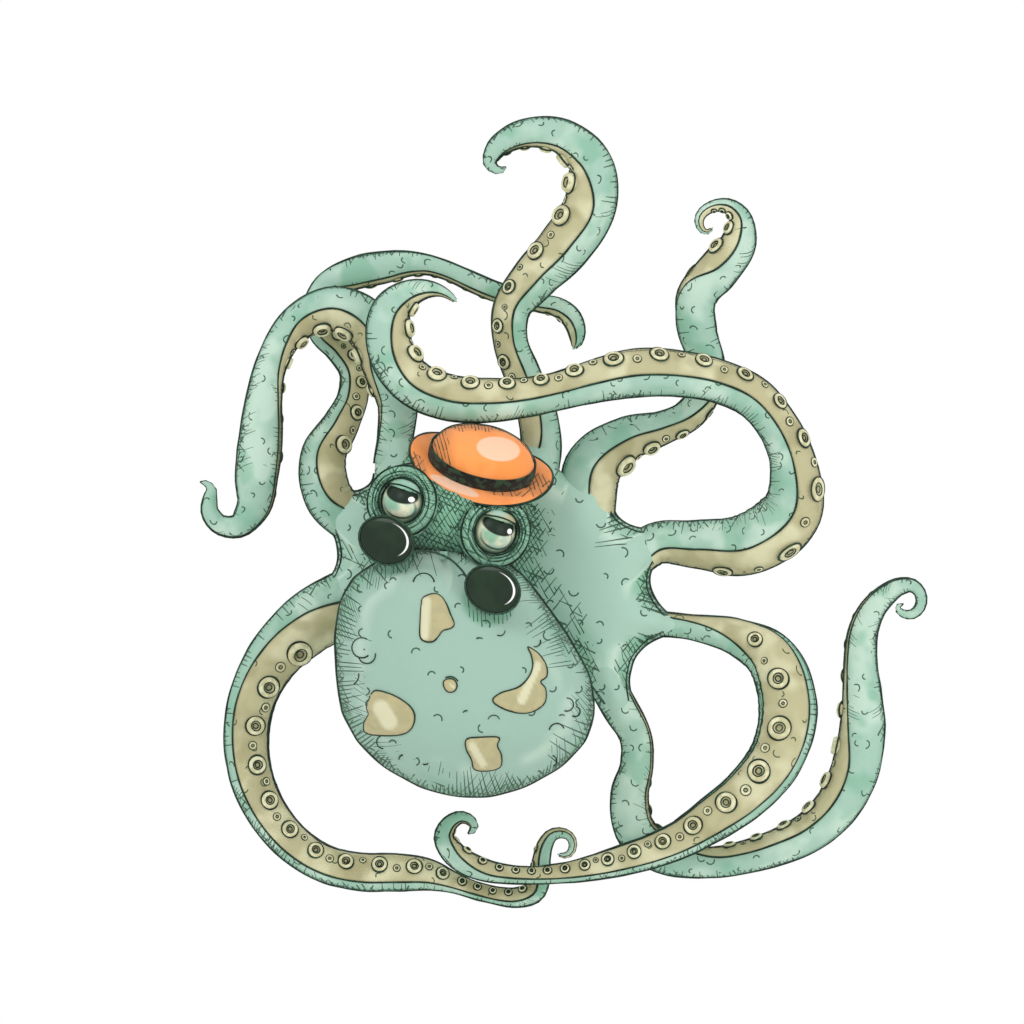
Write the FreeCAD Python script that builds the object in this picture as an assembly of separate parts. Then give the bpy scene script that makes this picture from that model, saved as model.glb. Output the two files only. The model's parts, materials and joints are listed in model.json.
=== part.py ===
import FreeCAD, Part
import math
import os

# Octopus show kite: a soft figure of sewn gores on a nylon hub, about 1.45 m wide and 1.6 m tall.
# The face looks along -Y. The origin is the centre of the tow bush, on the back of the hub.
# Each of the eight curled arms is clamped on a moulded knuckle and sways about a pin in the hub.

V = FreeCAD.Vector

# Tow point and hub
TOW_BORE_R = 6.0
TOW_BUSH_WALL = 2.0
TOW_BUSH_LENGTH = 12.0
TOW_BUSH_PROUD = 1.0          # the bush stands out of the lug on each side
TOW_LUG_EYE_R = 16.0
TOW_LUG_REACH = 60.0          # back face of the hub to the middle of the tow bore
TOW_LUG_FOOT = (40.0, 44.0)   # across and up the hub plate
TOW_LUG_FOOT_THICKNESS = 4.0
HUB_DISC_R = 72.0
HUB_PLATE_THICKNESS = 5.0
HUB_SPOKE_WIDTH = 26.0
HUB_SPOKE_END = 18.0          # a spoke runs on past its pin
HUB_SPOKE_CHAMFER = 8.0
POST_R = 7.0
POST_SIDES = 6
POST_COUNT = 3
POST_CIRCLE_R = 46.0

# Arm knuckles and their pins
PIN_R = 6.0
PIN_PROUD = 2.0               # each end, beyond the hub plate
PIN_FIT = 0.05                # radial running fit of a knuckle on its pin
KNUCKLE_R = 15.0              # across the corners of the eight-sided barrel
KNUCKLE_SIDES = 8
KNUCKLE_LENGTH = 44.0
KNUCKLE_END_PLAY = 0.3        # each side, between the knuckle and a hub plate
TANG_WIDTH = 18.0
TANG_DEPTH = 36.0
CLAMP_THICKNESS = 5.0
CLAMP_SHARE = 0.86            # clamp plate across the arm, as a share of the arm's mouth
ARM_START = 28.0              # pin to the mouth of the fabric arm

# Arms, sewn from flat gores
ARM_DEPTH_SHARE = 0.8         # depth of an arm over its width in front view
GORE_LENGTH_SHARE = 0.95      # length of a gore over the arm's width there
TIP_WIDTH = 6.0
UNDERSIDE_HALF_ANGLE = 60.0
UNDERSIDE_GORES = 3
BACK_GORES = 6
SUCKER_WIDTH_SHARE = 0.42     # foot of a sucker over the arm's width
SUCKER_HEIGHT_SHARE = 0.10
SUCKER_TOP_SHARE = 0.72
SUCKER_SIDES = 6
SUCKER_SMALLEST_ARM = 20.0    # no sucker where the arm is narrower than this
SEAT = 0.3                    # clearance of a soft piece on its seat

# Web, pads, head and mantle
WEB_STANDOFF = 57.0           # middle of the hub to the inner face of a web panel
WEB_THICKNESS = 2.0
WEB_REACH = 95.0              # along each arm from its pin
WEB_TONGUE_SHARE = 0.72       # a tongue's width over its arm's width
WEB_DRAW = 0.25               # depth of the web's hollow between two arms over its span
PAD_R = 62.0
PAD_SIDES = 8
LUG_HOLE = 64.0               # square hole of the back pad and web round the tow lug's foot
HEAD_TILT = 18.0              # clockwise, seen from the front
HEAD_CENTRE = (-100.0, 130.0)
HEAD_HALF_WIDTH = 165.0
HEAD_HALF_DEPTH = 135.0
HEAD_HALF_HEIGHT = 98.0
BAG_SIDES = 16
BAG_SEAT_SHARE = 0.88         # a bag's back is flattened at this share of its half depth
MANTLE_DEPTH_SHARE = 0.68
# height, middle, half width of each seam ring of the mantle
MANTLE_RINGS = [(72, -112, 24), (50, -114, 110), (8, -120, 172), (-40, -116, 204), (-110, -96, 234),
                (-190, -72, 254), (-260, -62, 254), (-320, -56, 228), (-370, -54, 178),
                (-410, -54, 104), (-428, -54, 40)]

# Eyes
EYE_SPREAD_SHARE = 0.58       # middle of the head to an eye, as a share of the head's half width
EYE_LIFT_SHARE = -0.03        # share of the head's half height
EYE_TURN = 16.0               # each eye looks outwards by this angle
SOCKET_R = 72.0
SOCKET_INNER_R = 46.0
SOCKET_HEIGHT = 34.0
SOCKET_SUNK = 14.0
EYEBALL_R = 45.0
EYEBALL_RISE = 30.0
LID_THICKNESS = 5.0
LID_COVER = 0.42              # share of the eye's height that the upper lid covers
EYE_SIDES = 16

# Hat
HAT_CENTRE = (-38.0, 228.0)
HAT_TILT = 14.0               # clockwise, seen from the front
HAT_PITCH = 36.0              # tipped towards the viewer
BRIM_HALF_WIDTH = 146.0
BRIM_HALF_DEPTH = 132.0
BRIM_THICKNESS = 6.0
BRIM_SIDE_LIFT = 8.0          # the brim curls up by this much at its sides
BRIM_FRONT_LIFT = 4.0
HAT_HALF_WIDTH = 106.0
HAT_HALF_DEPTH = 80.0
BRIM_UNDER_CROWN = 6.0        # the crown is sewn onto this much of the brim
HAT_SIDES = 22
# height and share of the half width, up the crown of the hat
HAT_PROFILE = [(0, 1.0), (24, 0.985), (42, 0.93), (57, 0.80), (66, 0.58), (71, 0.26)]
BAND_HEIGHT = 24.0
BAND_THICKNESS = 3.0

# Glasses
LENS_HALF_WIDTH = 55.0
LENS_HALF_HEIGHT = 45.0
LENS_THICKNESS = 3.0
RIM_WIDTH = 4.0
RIM_DEPTH = 5.0
LENS_SIDES = 28
GLASSES_LEFT = (-224.0, 80.0)
GLASSES_RIGHT = (-14.0, -16.0)
LENS_BEFORE_HEAD = 11.6       # left lens, ahead of the head's front
LENS_BEHIND_MANTLE = 9.3      # right lens, behind the mantle's front
BRIDGE_RISE = 20.0
BRIDGE_THICKNESS = 4.0
BRIDGE_PAD = 16.0             # side of the square pad behind the bridge

# Arms: name -> route (x, z, width), lean of the sucker side (share of length, angle from the left
# of travel towards the viewer), layer (share of length, distance towards the viewer), suckers
# (first and last share of length).
ARMS = {
    "top": {
        "route": [(76, 180, 76), (82, 250, 76), (80, 310, 76), (24, 544, 72), (48, 580, 82), (184, 766, 100),
                  (178, 840, 84), (132, 884, 68), (-10, 860, 36), (-20, 834, 24), (-6, 820, 16), (12, 826, 8)],
        "lean": [(0.0, -20), (0.12, 40), (0.62, 42), (0.74, -10), (1.0, -40)],
        "layer": [(0.0, 0), (1.0, 0)],
        "suckers": (0.14, 0.90)},
    "crossing": {
        "route": [(236, 10, 80), (276, 56, 84), (334, 78, 80), (426, 66, 104), (574, 122, 122),
                  (576, 260, 84), (490, 374, 82), (400, 404, 84), (288, 414, 94), (96, 372, 72),
                  (-20, 358, 84), (-192, 412, 88), (-216, 536, 76), (-144, 580, 32), (-86, 554, 10)],
        "lean": [(0.0, 200), (0.08, 165), (0.3, 150), (0.55, 142), (0.8, 140), (0.92, 170), (1.0, 185)],
        "layer": [(0.0, 0), (0.1, 0), (0.4, 100), (0.62, 165), (0.75, 165), (1.0, 110)],
        "suckers": (0.08, 0.92)},
    "inner": {
        "route": [(184, 104, 104), (174, 176, 106), (196, 242, 110), (324, 304, 64), (388, 340, 60),
                  (410, 460, 68), (386, 524, 78), (404, 586, 76), (450, 634, 80), (478, 728, 40),
                  (444, 750, 24), (398, 716, 16), (410, 696, 10), (426, 706, 6)],
        "lean": [(0.0, 150), (0.35, 152), (0.45, 200), (0.6, 290), (0.7, 385), (1.0, 400)],
        "layer": [(0.0, 0), (1.0, 0)],
        "suckers": (0.08, 0.9)},
    "sweeping": {
        "route": [(244, -84, 76), (392, -96, 50), (552, -168, 104), (558, -340, 108), (422, -478, 86),
                  (358, -518, 72), (254, -556, 60), (30, -588, 34), (-96, -542, 44), (-112, -510, 36),
                  (-68, -474, 20), (-52, -490, 16), (-64, -506, 8)],
        "lean": [(0.0, -30), (0.1, 0), (0.2, 80), (0.3, 98), (0.7, 112), (0.84, 130), (0.92, 190), (1.0, 200)],
        "layer": [(0.0, 0), (0.15, 0), (0.4, 52), (1.0, 52)],
        "suckers": (0.14, 0.93)},
    "corner": {
        "route": [(200, -180, 68), (236, -250, 68), (276, -334, 60), (258, -464, 76), (290, -526, 76),
                  (416, -566, 60), (536, -542, 68), (638, -492, 80), (724, -324, 92), (722, -168, 64),
                  (760, -42, 44), (834, -16, 22), (844, -46, 20), (816, -70, 16), (796, -56, 10),
                  (808, -48, 6)],
        "lean": [(0.0, -40), (0.3, -30), (0.38, 15), (0.6, 18), (0.7, -25), (1.0, -45)],
        "layer": [(0.0, 0), (0.12, 0), (0.28, -34), (1.0, -34)],
        "suckers": (0.10, 0.90)},
    "lower": {
        "route": [(-250, -20, 124), (-330, -54, 128), (-482, -204, 96), (-496, -396, 84), (-324, -576, 72),
                  (-140, -590, 60), (-86, -608, 38), (74, -616, 40), (82, -568, 34), (116, -506, 20),
                  (142, -516, 16), (144, -540, 14), (114, -548, 6)],
        "lean": [(0.0, 20), (0.12, 55), (0.25, 72), (0.55, 66), (0.8, 60), (0.88, 10), (1.0, 0)],
        "layer": [(0.0, 0), (0.3, 0), (0.6, -10), (1.0, -10)],
        "suckers": (0.10, 0.90)},
    "arching": {
        "route": [(-256, 90, 88), (-320, 138, 90), (-360, 212, 94), (-330, 292, 76), (-294, 416, 52),
                  (-322, 462, 52), (-364, 510, 52), (-364, 564, 52), (-228, 628, 60), (-156, 634, 40),
                  (-24, 584, 38), (96, 552, 34), (130, 540, 38), (152, 506, 34), (146, 462, 8)],
        "lean": [(0.0, 190), (0.12, 140), (0.2, 128), (0.42, 132), (0.55, 200), (0.85, 190), (1.0, 150)],
        "layer": [(0.0, 0), (0.1, 0), (0.32, -88), (1.0, -88)],
        "suckers": (0.10, 0.92)},
    "drooping": {
        "route": [(-216, 200, 72), (-210, 286, 68), (-202, 344, 76), (-220, 392, 80), (-276, 524, 92),
                  (-344, 542, 84), (-454, 442, 60), (-478, 292, 82), (-486, 218, 84), (-524, 108, 44),
                  (-562, 112, 36), (-582, 148, 30), (-578, 182, 18), (-600, 196, 6)],
        "lean": [(0.0, -60), (0.2, -20), (0.32, 30), (0.45, 30), (0.6, -30), (1.0, -50)],
        "layer": [(0.0, 0), (1.0, 0)],
        "suckers": (0.10, 0.90)}}

# Depths that follow from the sizes above
PLATE_INNER = KNUCKLE_LENGTH / 2 + KNUCKLE_END_PLAY
PLATE_OUTER = PLATE_INNER + HUB_PLATE_THICKNESS
HUB_Y = -(TOW_LUG_REACH + PLATE_OUTER)
WEB_FACE_Y = HUB_Y - WEB_STANDOFF - WEB_THICKNESS
BAG_SEAT_Y = WEB_FACE_Y - SEAT


def save(name, shape):
    shape.exportStep("parts/" + name + ".step")


def unit(vector):
    return V(vector) / vector.Length


def read_off(table, share):
    """Value of a (share, value) table between its rows."""
    for (s0, v0), (s1, v1) in zip(table, table[1:]):
        if share <= s1:
            return v0 + (v1 - v0) * max(share - s0, 0.0) / (s1 - s0)
    return table[-1][1]


def sewn(rings):
    """Closed solid of flat panels between rings of equally many corners."""
    count = len(rings[0])
    points = [p for ring in rings for p in ring]
    facets = []
    for row in range(len(rings) - 1):
        for k in range(count):
            a, b = row * count + k, row * count + (k + 1) % count
            c, d = b + count, a + count
            if points[a].distanceToPoint(points[c]) < points[b].distanceToPoint(points[d]):
                facets += [(a, b, c), (a, c, d)]
            else:
                facets += [(a, b, d), (b, c, d)]
    for start, turn in ((0, -1), (len(points) - count, 1)):
        for k in range(1, count - 1):
            facets.append((start, start + k, start + k + 1)[::turn])
    shape = Part.Shape()
    shape.makeShapeFromMesh((points, facets), 1e-4, True)
    solid = Part.Solid(Part.Shell(shape.Faces)).removeSplitter()
    if solid.Volume < 0:
        solid.reverse()
    return solid


def oval_ring(centre, side, front, half_side, half_front, count, start=0.0):
    angles = [math.radians(start + 360.0 * k / count) for k in range(count)]
    return [centre + side * (half_side * math.cos(a)) + front * (half_front * math.sin(a)) for a in angles]


def prism(centre, axis, radius, length, sides):
    """Bar with that many flats, its middle at centre and its corners on the radius."""
    side = unit(axis.cross(V(0, 0, 1)))
    up = unit(axis.cross(side))
    ends = [oval_ring(centre + axis * (length / 2 * s), side, up, radius, radius, sides, 180.0 / sides)
            for s in (-1, 1)]
    return sewn(ends)


def rod(centre, axis, radius, length):
    """Cylinder with its middle at centre."""
    return Part.makeCylinder(radius, length, centre - axis * (length / 2), axis)


BACKWARDS = V(0, 1, 0)
FRONTWARDS = V(0, -1, 0)


# ---- Arms: each is a string of flat gores, like a lobster-back bend, along its curl ----

class Arm:
    SAMPLES = 500

    def __init__(self, name, data):
        self.name = name
        self.data = data
        curve = Part.BSplineCurve()
        # the curve carries the width of the arm in its y coordinate
        curve.interpolate([V(x, width, z) for x, z, width in data["route"]])
        first, last = curve.FirstParameter, curve.LastParameter
        fine = [curve.value(first + (last - first) * k / self.SAMPLES) for k in range(self.SAMPLES + 1)]
        self.places = [V(p.x, 0, p.z) for p in fine]
        self.widths = [max(p.y, TIP_WIDTH) for p in fine]
        self.run = [0.0]
        self.gores = [0.0]
        for k in range(1, len(fine)):
            step = self.places[k].distanceToPoint(self.places[k - 1])
            self.run.append(self.run[-1] + step)
            begun = self.run[-1] > ARM_START
            self.gores.append(self.gores[-1] + (step / (GORE_LENGTH_SHARE * self.widths[k]) if begun else 0.0))
        self.pivot = V(self.places[0].x, HUB_Y, self.places[0].z)
        self.length = self.run[-1]

    def station(self, scale, value):
        """Place, travel, width and share of length where scale reaches value."""
        k = 1
        while k < len(scale) - 1 and scale[k] < value:
            k += 1
        span = scale[k] - scale[k - 1]
        t = (value - scale[k - 1]) / span if span > 0 else 1.0
        flat = self.places[k - 1] + (self.places[k] - self.places[k - 1]) * t
        travel = unit(self.places[min(k + 2, len(scale) - 1)] - self.places[max(k - 3, 0)])
        width = self.widths[k - 1] + (self.widths[k] - self.widths[k - 1]) * t
        share = (self.run[k - 1] + (self.run[k] - self.run[k - 1]) * t) / self.length
        forward = read_off(self.data["layer"], share)
        return V(flat.x, HUB_Y - forward, flat.z), travel, width, share

    def ring(self, station, shrink=1.0):
        """Corners round the arm: the underside's first, from its left seam to its right seam."""
        place, travel, width, share = station
        left = V(-travel.z, 0, travel.x)
        middle = read_off(self.data["lean"], share)
        wide = 2 * UNDERSIDE_HALF_ANGLE
        angles = [middle - UNDERSIDE_HALF_ANGLE + wide * k / UNDERSIDE_GORES for k in range(UNDERSIDE_GORES + 1)]
        rest = (360.0 - wide) / BACK_GORES
        angles += [middle + UNDERSIDE_HALF_ANGLE + rest * k for k in range(1, BACK_GORES)]
        half = shrink * width / 2
        return [place + left * (half * math.cos(math.radians(a)))
                + FRONTWARDS * (half * ARM_DEPTH_SHARE * math.sin(math.radians(a))) for a in angles]

    def stations(self):
        mouth = self.station(self.run, ARM_START)
        count = round(self.gores[-1])
        rest = [self.station(self.gores, self.gores[-1] * k / count) for k in range(1, count + 1)]
        return [mouth] + rest

    def panels(self):
        rings = [self.ring(s) for s in self.stations()]
        under = [ring[:UNDERSIDE_GORES + 1] for ring in rings]
        back = [ring[UNDERSIDE_GORES:] + ring[:1] for ring in rings]
        return sewn(back), sewn(under)

    def suckers(self):
        """A ring-shaped foot sewn on the middle gore of each underside panel."""
        stations = self.stations()
        rings = [self.ring(s) for s in stations]
        first, last = self.data["suckers"]
        low, high = (UNDERSIDE_GORES - 1) // 2, (UNDERSIDE_GORES + 1) // 2
        pieces = []
        for (near, far), a, b in zip(zip(stations, stations[1:]), rings, rings[1:]):
            if not first <= near[3] <= last or far[2] < SUCKER_SMALLEST_ARM:
                continue
            corners = [a[low], a[high], b[high], b[low]]
            middle = (corners[0] + corners[1] + corners[2] + corners[3]) / 4
            out = unit((corners[2] - corners[0]).cross(corners[3] - corners[1]))
            if out.dot(middle - (near[0] + far[0]) / 2) < 0:
                out = out * -1
            along = unit(b[low] + b[high] - a[low] - a[high])
            across = unit(out.cross(along))
            swell = max((c - middle).dot(out) for c in corners)
            bay = (near[0] - far[0]).Length
            foot = min(SUCKER_WIDTH_SHARE * near[2], 0.9 * bay) / 2
            base = middle + out * (swell + SEAT)
            top = base + out * (SUCKER_HEIGHT_SHARE * near[2])
            half_step = 180.0 / SUCKER_SIDES
            pieces.append(sewn([oval_ring(base, across, along, foot, foot, SUCKER_SIDES, half_step),
                                oval_ring(top, across, along, foot * SUCKER_TOP_SHARE,
                                          foot * SUCKER_TOP_SHARE, SUCKER_SIDES, half_step)]))
        return Part.Compound(pieces)

    def knuckle(self):
        """Moulded barrel on the pin, with a tang and a plate that clamps the arm's mouth."""
        mouth = self.station(self.run, ARM_START)
        direction = mouth[1]
        barrel = prism(self.pivot, BACKWARDS, KNUCKLE_R, KNUCKLE_LENGTH, KNUCKLE_SIDES)
        plate_back = self.ring(mouth, CLAMP_SHARE)
        plate_front = [p - direction * CLAMP_THICKNESS for p in plate_back]
        plate = sewn([plate_front, plate_back])
        side = V(-direction.z, 0, direction.x)
        foot = mouth[0] - direction * ARM_START
        corners = [foot + side * (TANG_WIDTH / 2 * s) + BACKWARDS * (TANG_DEPTH / 2 * d)
                   for s, d in ((-1, -1), (1, -1), (1, 1), (-1, 1))]
        reach = ARM_START - CLAMP_THICKNESS / 2
        tang = sewn([corners, [c + direction * reach for c in corners]])
        bore = rod(self.pivot, BACKWARDS, PIN_R + PIN_FIT, KNUCKLE_LENGTH * 2)
        return barrel.fuse([tang, plate]).removeSplitter().cut(bore)


arms = {name: Arm(name, data) for name, data in ARMS.items()}
for name, arm in arms.items():
    back, underside = arm.panels()
    save("arm_" + name + "_back", back)
    save("arm_" + name + "_underside", underside)
    save("arm_" + name + "_suckers", arm.suckers())
    save("arm_" + name + "_knuckle", arm.knuckle())


# ---- Hub: two nylon spiders with a boss at each arm's pin, held apart by posts ----

def hub_plate(inner_y, outer_y):
    low = min(inner_y, outer_y)
    middle = V(0, low + HUB_PLATE_THICKNESS / 2, 0)
    blank = prism(middle, BACKWARDS, HUB_DISC_R, HUB_PLATE_THICKNESS, len(arms))
    spokes = []
    holes = []
    for arm in arms.values():
        centre, foot = V(0, low, 0), V(arm.pivot.x, low, arm.pivot.z)
        outward = unit(foot - centre)
        side = V(-outward.z, 0, outward.x) * (HUB_SPOKE_WIDTH / 2)
        end = foot + outward * HUB_SPOKE_END
        shoulder = end - outward * HUB_SPOKE_CHAMFER
        tip = side * (1 - 2 * HUB_SPOKE_CHAMFER / HUB_SPOKE_WIDTH)
        corners = [centre - side, shoulder - side, end - tip, end + tip, shoulder + side, centre + side]
        outline = Part.Face(Part.makePolygon(corners + corners[:1]))
        spokes.append(outline.extrude(BACKWARDS * HUB_PLATE_THICKNESS))
        holes.append(rod(foot, BACKWARDS, PIN_R, 4 * HUB_PLATE_THICKNESS))
    return blank.fuse(spokes).removeSplitter().cut(holes)


front_plate = hub_plate(HUB_Y - PLATE_INNER, HUB_Y - PLATE_OUTER)
back_plate = hub_plate(HUB_Y + PLATE_INNER, HUB_Y + PLATE_OUTER)
save("hub_front_plate", front_plate)
save("hub_back_plate", back_plate)

posts = []
for k in range(POST_COUNT):
    angle = math.radians(90 + 360.0 * k / POST_COUNT)
    place = V(POST_CIRCLE_R * math.cos(angle), HUB_Y, POST_CIRCLE_R * math.sin(angle))
    posts.append(prism(place, BACKWARDS, POST_R, 2 * PLATE_INNER, POST_SIDES))
save("hub_posts", Part.Compound(posts))

pin_length = 2 * (PLATE_OUTER + PIN_PROUD)
save("arm_pins", Part.Compound([rod(arm.pivot, BACKWARDS, PIN_R, pin_length) for arm in arms.values()]))

# Tow lug: a square foot on the back plate and a flat round-ended eye, with a brass bush through it
TOW_AXIS = V(1, 0, 0)
lug_thickness = TOW_BUSH_LENGTH - 2 * TOW_BUSH_PROUD
foot_side, foot_up = TOW_LUG_FOOT
lug_foot = Part.makeBox(foot_side, TOW_LUG_FOOT_THICKNESS, foot_up,
                        V(-foot_side / 2, -TOW_LUG_REACH, -foot_up / 2))
eye_end = rod(V(0, 0, 0), TOW_AXIS, TOW_LUG_EYE_R, lug_thickness)
neck = Part.makeBox(lug_thickness, TOW_LUG_REACH, 2 * TOW_LUG_EYE_R,
                    V(-lug_thickness / 2, -TOW_LUG_REACH, -TOW_LUG_EYE_R))
bush_outer_r = TOW_BORE_R + TOW_BUSH_WALL
lug = lug_foot.fuse([eye_end, neck]).removeSplitter()
save("tow_lug", lug.cut(rod(V(0, 0, 0), TOW_AXIS, bush_outer_r, 2 * TOW_BUSH_LENGTH)))
bush = rod(V(0, 0, 0), TOW_AXIS, bush_outer_r, TOW_BUSH_LENGTH)
save("tow_bush", bush.cut(rod(V(0, 0, 0), TOW_AXIS, TOW_BORE_R, 2 * TOW_BUSH_LENGTH)))


# ---- Web: a fabric panel in front of the arms' roots and one behind, drawn in between arms ----

WEB_EDGE_SPANS = 4
WEB_ORDER = ("drooping", "top", "inner", "crossing", "sweeping", "corner", "lower", "arching")


def web_panel(inner_y):
    """Star of cloth: a tongue along each arm, and a hollow edge of short seams between two arms."""
    ends = []
    for name in WEB_ORDER:
        place, travel, width, share = arms[name].station(arms[name].run, WEB_REACH)
        left = V(-travel.z, 0, travel.x) * (width * WEB_TONGUE_SHARE / 2)
        flat = V(place.x, inner_y, place.z)
        ends.append((flat + left, flat - left))
    corners = []
    for k, (left, right) in enumerate(ends):
        following = ends[(k + 1) % len(ends)][0]
        middle = (right + following) / 2
        pull = unit(V(0, inner_y, 0) - middle) * (2 * WEB_DRAW * (following - right).Length)
        control = middle + pull
        corners.append(left)
        for step in range(WEB_EDGE_SPANS):
            t = step / WEB_EDGE_SPANS
            corners.append(right * (1 - t) ** 2 + control * (2 * t * (1 - t)) + following * t ** 2)
    return Part.Face(Part.makePolygon(corners + corners[:1]))


front_web = web_panel(HUB_Y - WEB_STANDOFF).extrude(FRONTWARDS * WEB_THICKNESS)
save("web_front", front_web)
lug_hole = Part.makeBox(LUG_HOLE, TOW_LUG_REACH, LUG_HOLE, V(-LUG_HOLE / 2, -TOW_LUG_REACH, -LUG_HOLE / 2))
back_web = web_panel(HUB_Y + WEB_STANDOFF).extrude(BACKWARDS * WEB_THICKNESS)
save("web_back", back_web.cut(lug_hole))

pad_thickness = WEB_STANDOFF - PLATE_OUTER
pad_middle = PLATE_OUTER + pad_thickness / 2
save("neck_pad", prism(V(0, HUB_Y - pad_middle, 0), BACKWARDS, PAD_R, pad_thickness, PAD_SIDES))
back_pad = prism(V(0, HUB_Y + pad_middle, 0), BACKWARDS, PAD_R, pad_thickness, PAD_SIDES)
save("back_pad", back_pad.cut(lug_hole))


# ---- Mantle and head: stuffed bags of gores, flattened where they are sewn to the web ----

def flat_backed(bag):
    box = bag.BoundBox
    slab = Part.makeBox(box.XLength + 2, box.YLength, box.ZLength + 2, V(box.XMin - 1, BAG_SEAT_Y, box.ZMin - 1))
    return bag.cut(slab)


mantle_half_depth = MANTLE_DEPTH_SHARE * max(half for z, x, half in MANTLE_RINGS)
mantle_y = BAG_SEAT_Y - BAG_SEAT_SHARE * mantle_half_depth
RIGHT = V(1, 0, 0)
mantle = flat_backed(sewn([oval_ring(V(x, mantle_y, z), RIGHT, FRONTWARDS, half, half * MANTLE_DEPTH_SHARE,
                                     BAG_SIDES) for z, x, half in MANTLE_RINGS]))
save("mantle", mantle)

tilt = math.radians(HEAD_TILT)
head_side = V(math.cos(tilt), 0, -math.sin(tilt))
head_up = V(math.sin(tilt), 0, math.cos(tilt))
head_middle = V(HEAD_CENTRE[0], BAG_SEAT_Y - BAG_SEAT_SHARE * HEAD_HALF_DEPTH, HEAD_CENTRE[1])
head_rings = []
HEAD_ROWS = 8
for k in range(HEAD_ROWS + 1):
    rise = math.radians(-80 + 160.0 * k / HEAD_ROWS)
    centre = head_middle + head_up * (HEAD_HALF_HEIGHT * math.sin(rise))
    head_rings.append(oval_ring(centre, head_side, FRONTWARDS, HEAD_HALF_WIDTH * math.cos(rise),
                                HEAD_HALF_DEPTH * math.cos(rise), BAG_SIDES))
head = flat_backed(sewn(head_rings)).cut(mantle)


# ---- Eyes: a stuffed ring let into the head, a domed eyeball in it and a lid over the ball ----

def eye(sign):
    """Centre on the head and the axis of the left (-1) or right (+1) eye."""
    across = sign * EYE_SPREAD_SHARE
    up = EYE_LIFT_SHARE
    out = HEAD_HALF_DEPTH * math.sqrt(1 - across ** 2 - up ** 2)
    centre = head_middle + head_side * (across * HEAD_HALF_WIDTH) + head_up * (up * HEAD_HALF_HEIGHT)
    centre = centre + FRONTWARDS * out
    turn = math.radians(EYE_TURN)
    return centre, unit(FRONTWARDS * math.cos(turn) + head_side * (sign * math.sin(turn)))


def eye_rings(centre, axis, profile):
    side = unit(head_up.cross(axis))
    up = unit(axis.cross(side))
    return [oval_ring(centre + axis * height, side, up, radius, radius, EYE_SIDES, 180.0 / EYE_SIDES)
            for height, radius in profile]


def dome(radius, rise):
    rows = 4
    return [(rise * math.sin(math.radians(84.0 * k / rows)), radius * math.cos(math.radians(84.0 * k / rows)))
            for k in range(rows + 1)]


sockets = {}
for label, sign in (("left", -1), ("right", 1)):
    centre, axis = eye(sign)
    floor = centre - axis * SOCKET_SUNK
    outer = [(0, SOCKET_R), (SOCKET_HEIGHT * 0.55, SOCKET_R * 0.97), (SOCKET_HEIGHT * 0.88, SOCKET_R * 0.86),
             (SOCKET_HEIGHT, (SOCKET_R + SOCKET_INNER_R) / 2)]
    hole = sewn(eye_rings(floor, axis, [(-1, SOCKET_INNER_R), (SOCKET_HEIGHT + 1, SOCKET_INNER_R)]))
    socket = sewn(eye_rings(floor, axis, outer)).cut(hole)
    pocket = sewn(eye_rings(floor, axis, [(0, SOCKET_R + SEAT), (4 * SOCKET_HEIGHT, SOCKET_R + SEAT)]))
    head = head.cut(pocket)
    sockets[label] = socket
    ball = sewn(eye_rings(floor, axis, dome(EYEBALL_R, EYEBALL_RISE + SOCKET_SUNK)))
    save("eyeball_" + label, ball)
    rise = EYEBALL_RISE + SOCKET_SUNK
    shell = sewn(eye_rings(floor, axis, dome(EYEBALL_R + SEAT + LID_THICKNESS, rise + SEAT + LID_THICKNESS)))
    shell = shell.cut(sewn(eye_rings(floor, axis, dome(EYEBALL_R + SEAT, rise + SEAT))))
    lid_y = EYEBALL_R * (1 - 2 * LID_COVER)
    above = sewn([[floor + axis * h + head_side * (s * SOCKET_R) + head_up * u
                   for s, u in ((-1, lid_y), (1, lid_y), (1, SOCKET_R), (-1, SOCKET_R))]
                  for h in (-SOCKET_R, SOCKET_R)])
    save("eyelid_" + label, shell.common(above).cut(socket))


# ---- Hat: crown, brim with a turned-up rim, and a band ----

tilt = math.radians(HAT_TILT)
pitch = math.radians(HAT_PITCH)
hat_side = V(math.cos(tilt), 0, -math.sin(tilt))
hat_upright = V(math.sin(tilt), 0, math.cos(tilt))
hat_up = hat_upright * math.cos(pitch) + FRONTWARDS * math.sin(pitch)
hat_front = FRONTWARDS * math.cos(pitch) - hat_upright * math.sin(pitch)
hat_middle = V(HAT_CENTRE[0], head_middle.y, HAT_CENTRE[1])


def hat_rings(profile, half_side, half_front, grow=0.0):
    return [oval_ring(hat_middle + hat_up * height, hat_side, hat_front, half_side * share + grow,
                      half_front * share + grow, HAT_SIDES) for height, share in profile]


def brim_ring(height, across):
    """A ring of the brim: across runs from 0 under the crown's wall to 1 at the rim."""
    inner_side, inner_front = HAT_HALF_WIDTH - BRIM_UNDER_CROWN, HAT_HALF_DEPTH - BRIM_UNDER_CROWN
    flat = oval_ring(hat_middle + hat_up * height, hat_side, hat_front,
                     inner_side + (BRIM_HALF_WIDTH - inner_side) * across,
                     inner_front + (BRIM_HALF_DEPTH - inner_front) * across, HAT_SIDES)
    ring = []
    for place in flat:
        sideways = min(abs((place - hat_middle).dot(hat_side)) / BRIM_HALF_WIDTH, 1.0)
        lift = BRIM_FRONT_LIFT + (BRIM_SIDE_LIFT - BRIM_FRONT_LIFT) * sideways ** 2
        ring.append(place + hat_up * (lift * across ** 2))
    return ring


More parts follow.
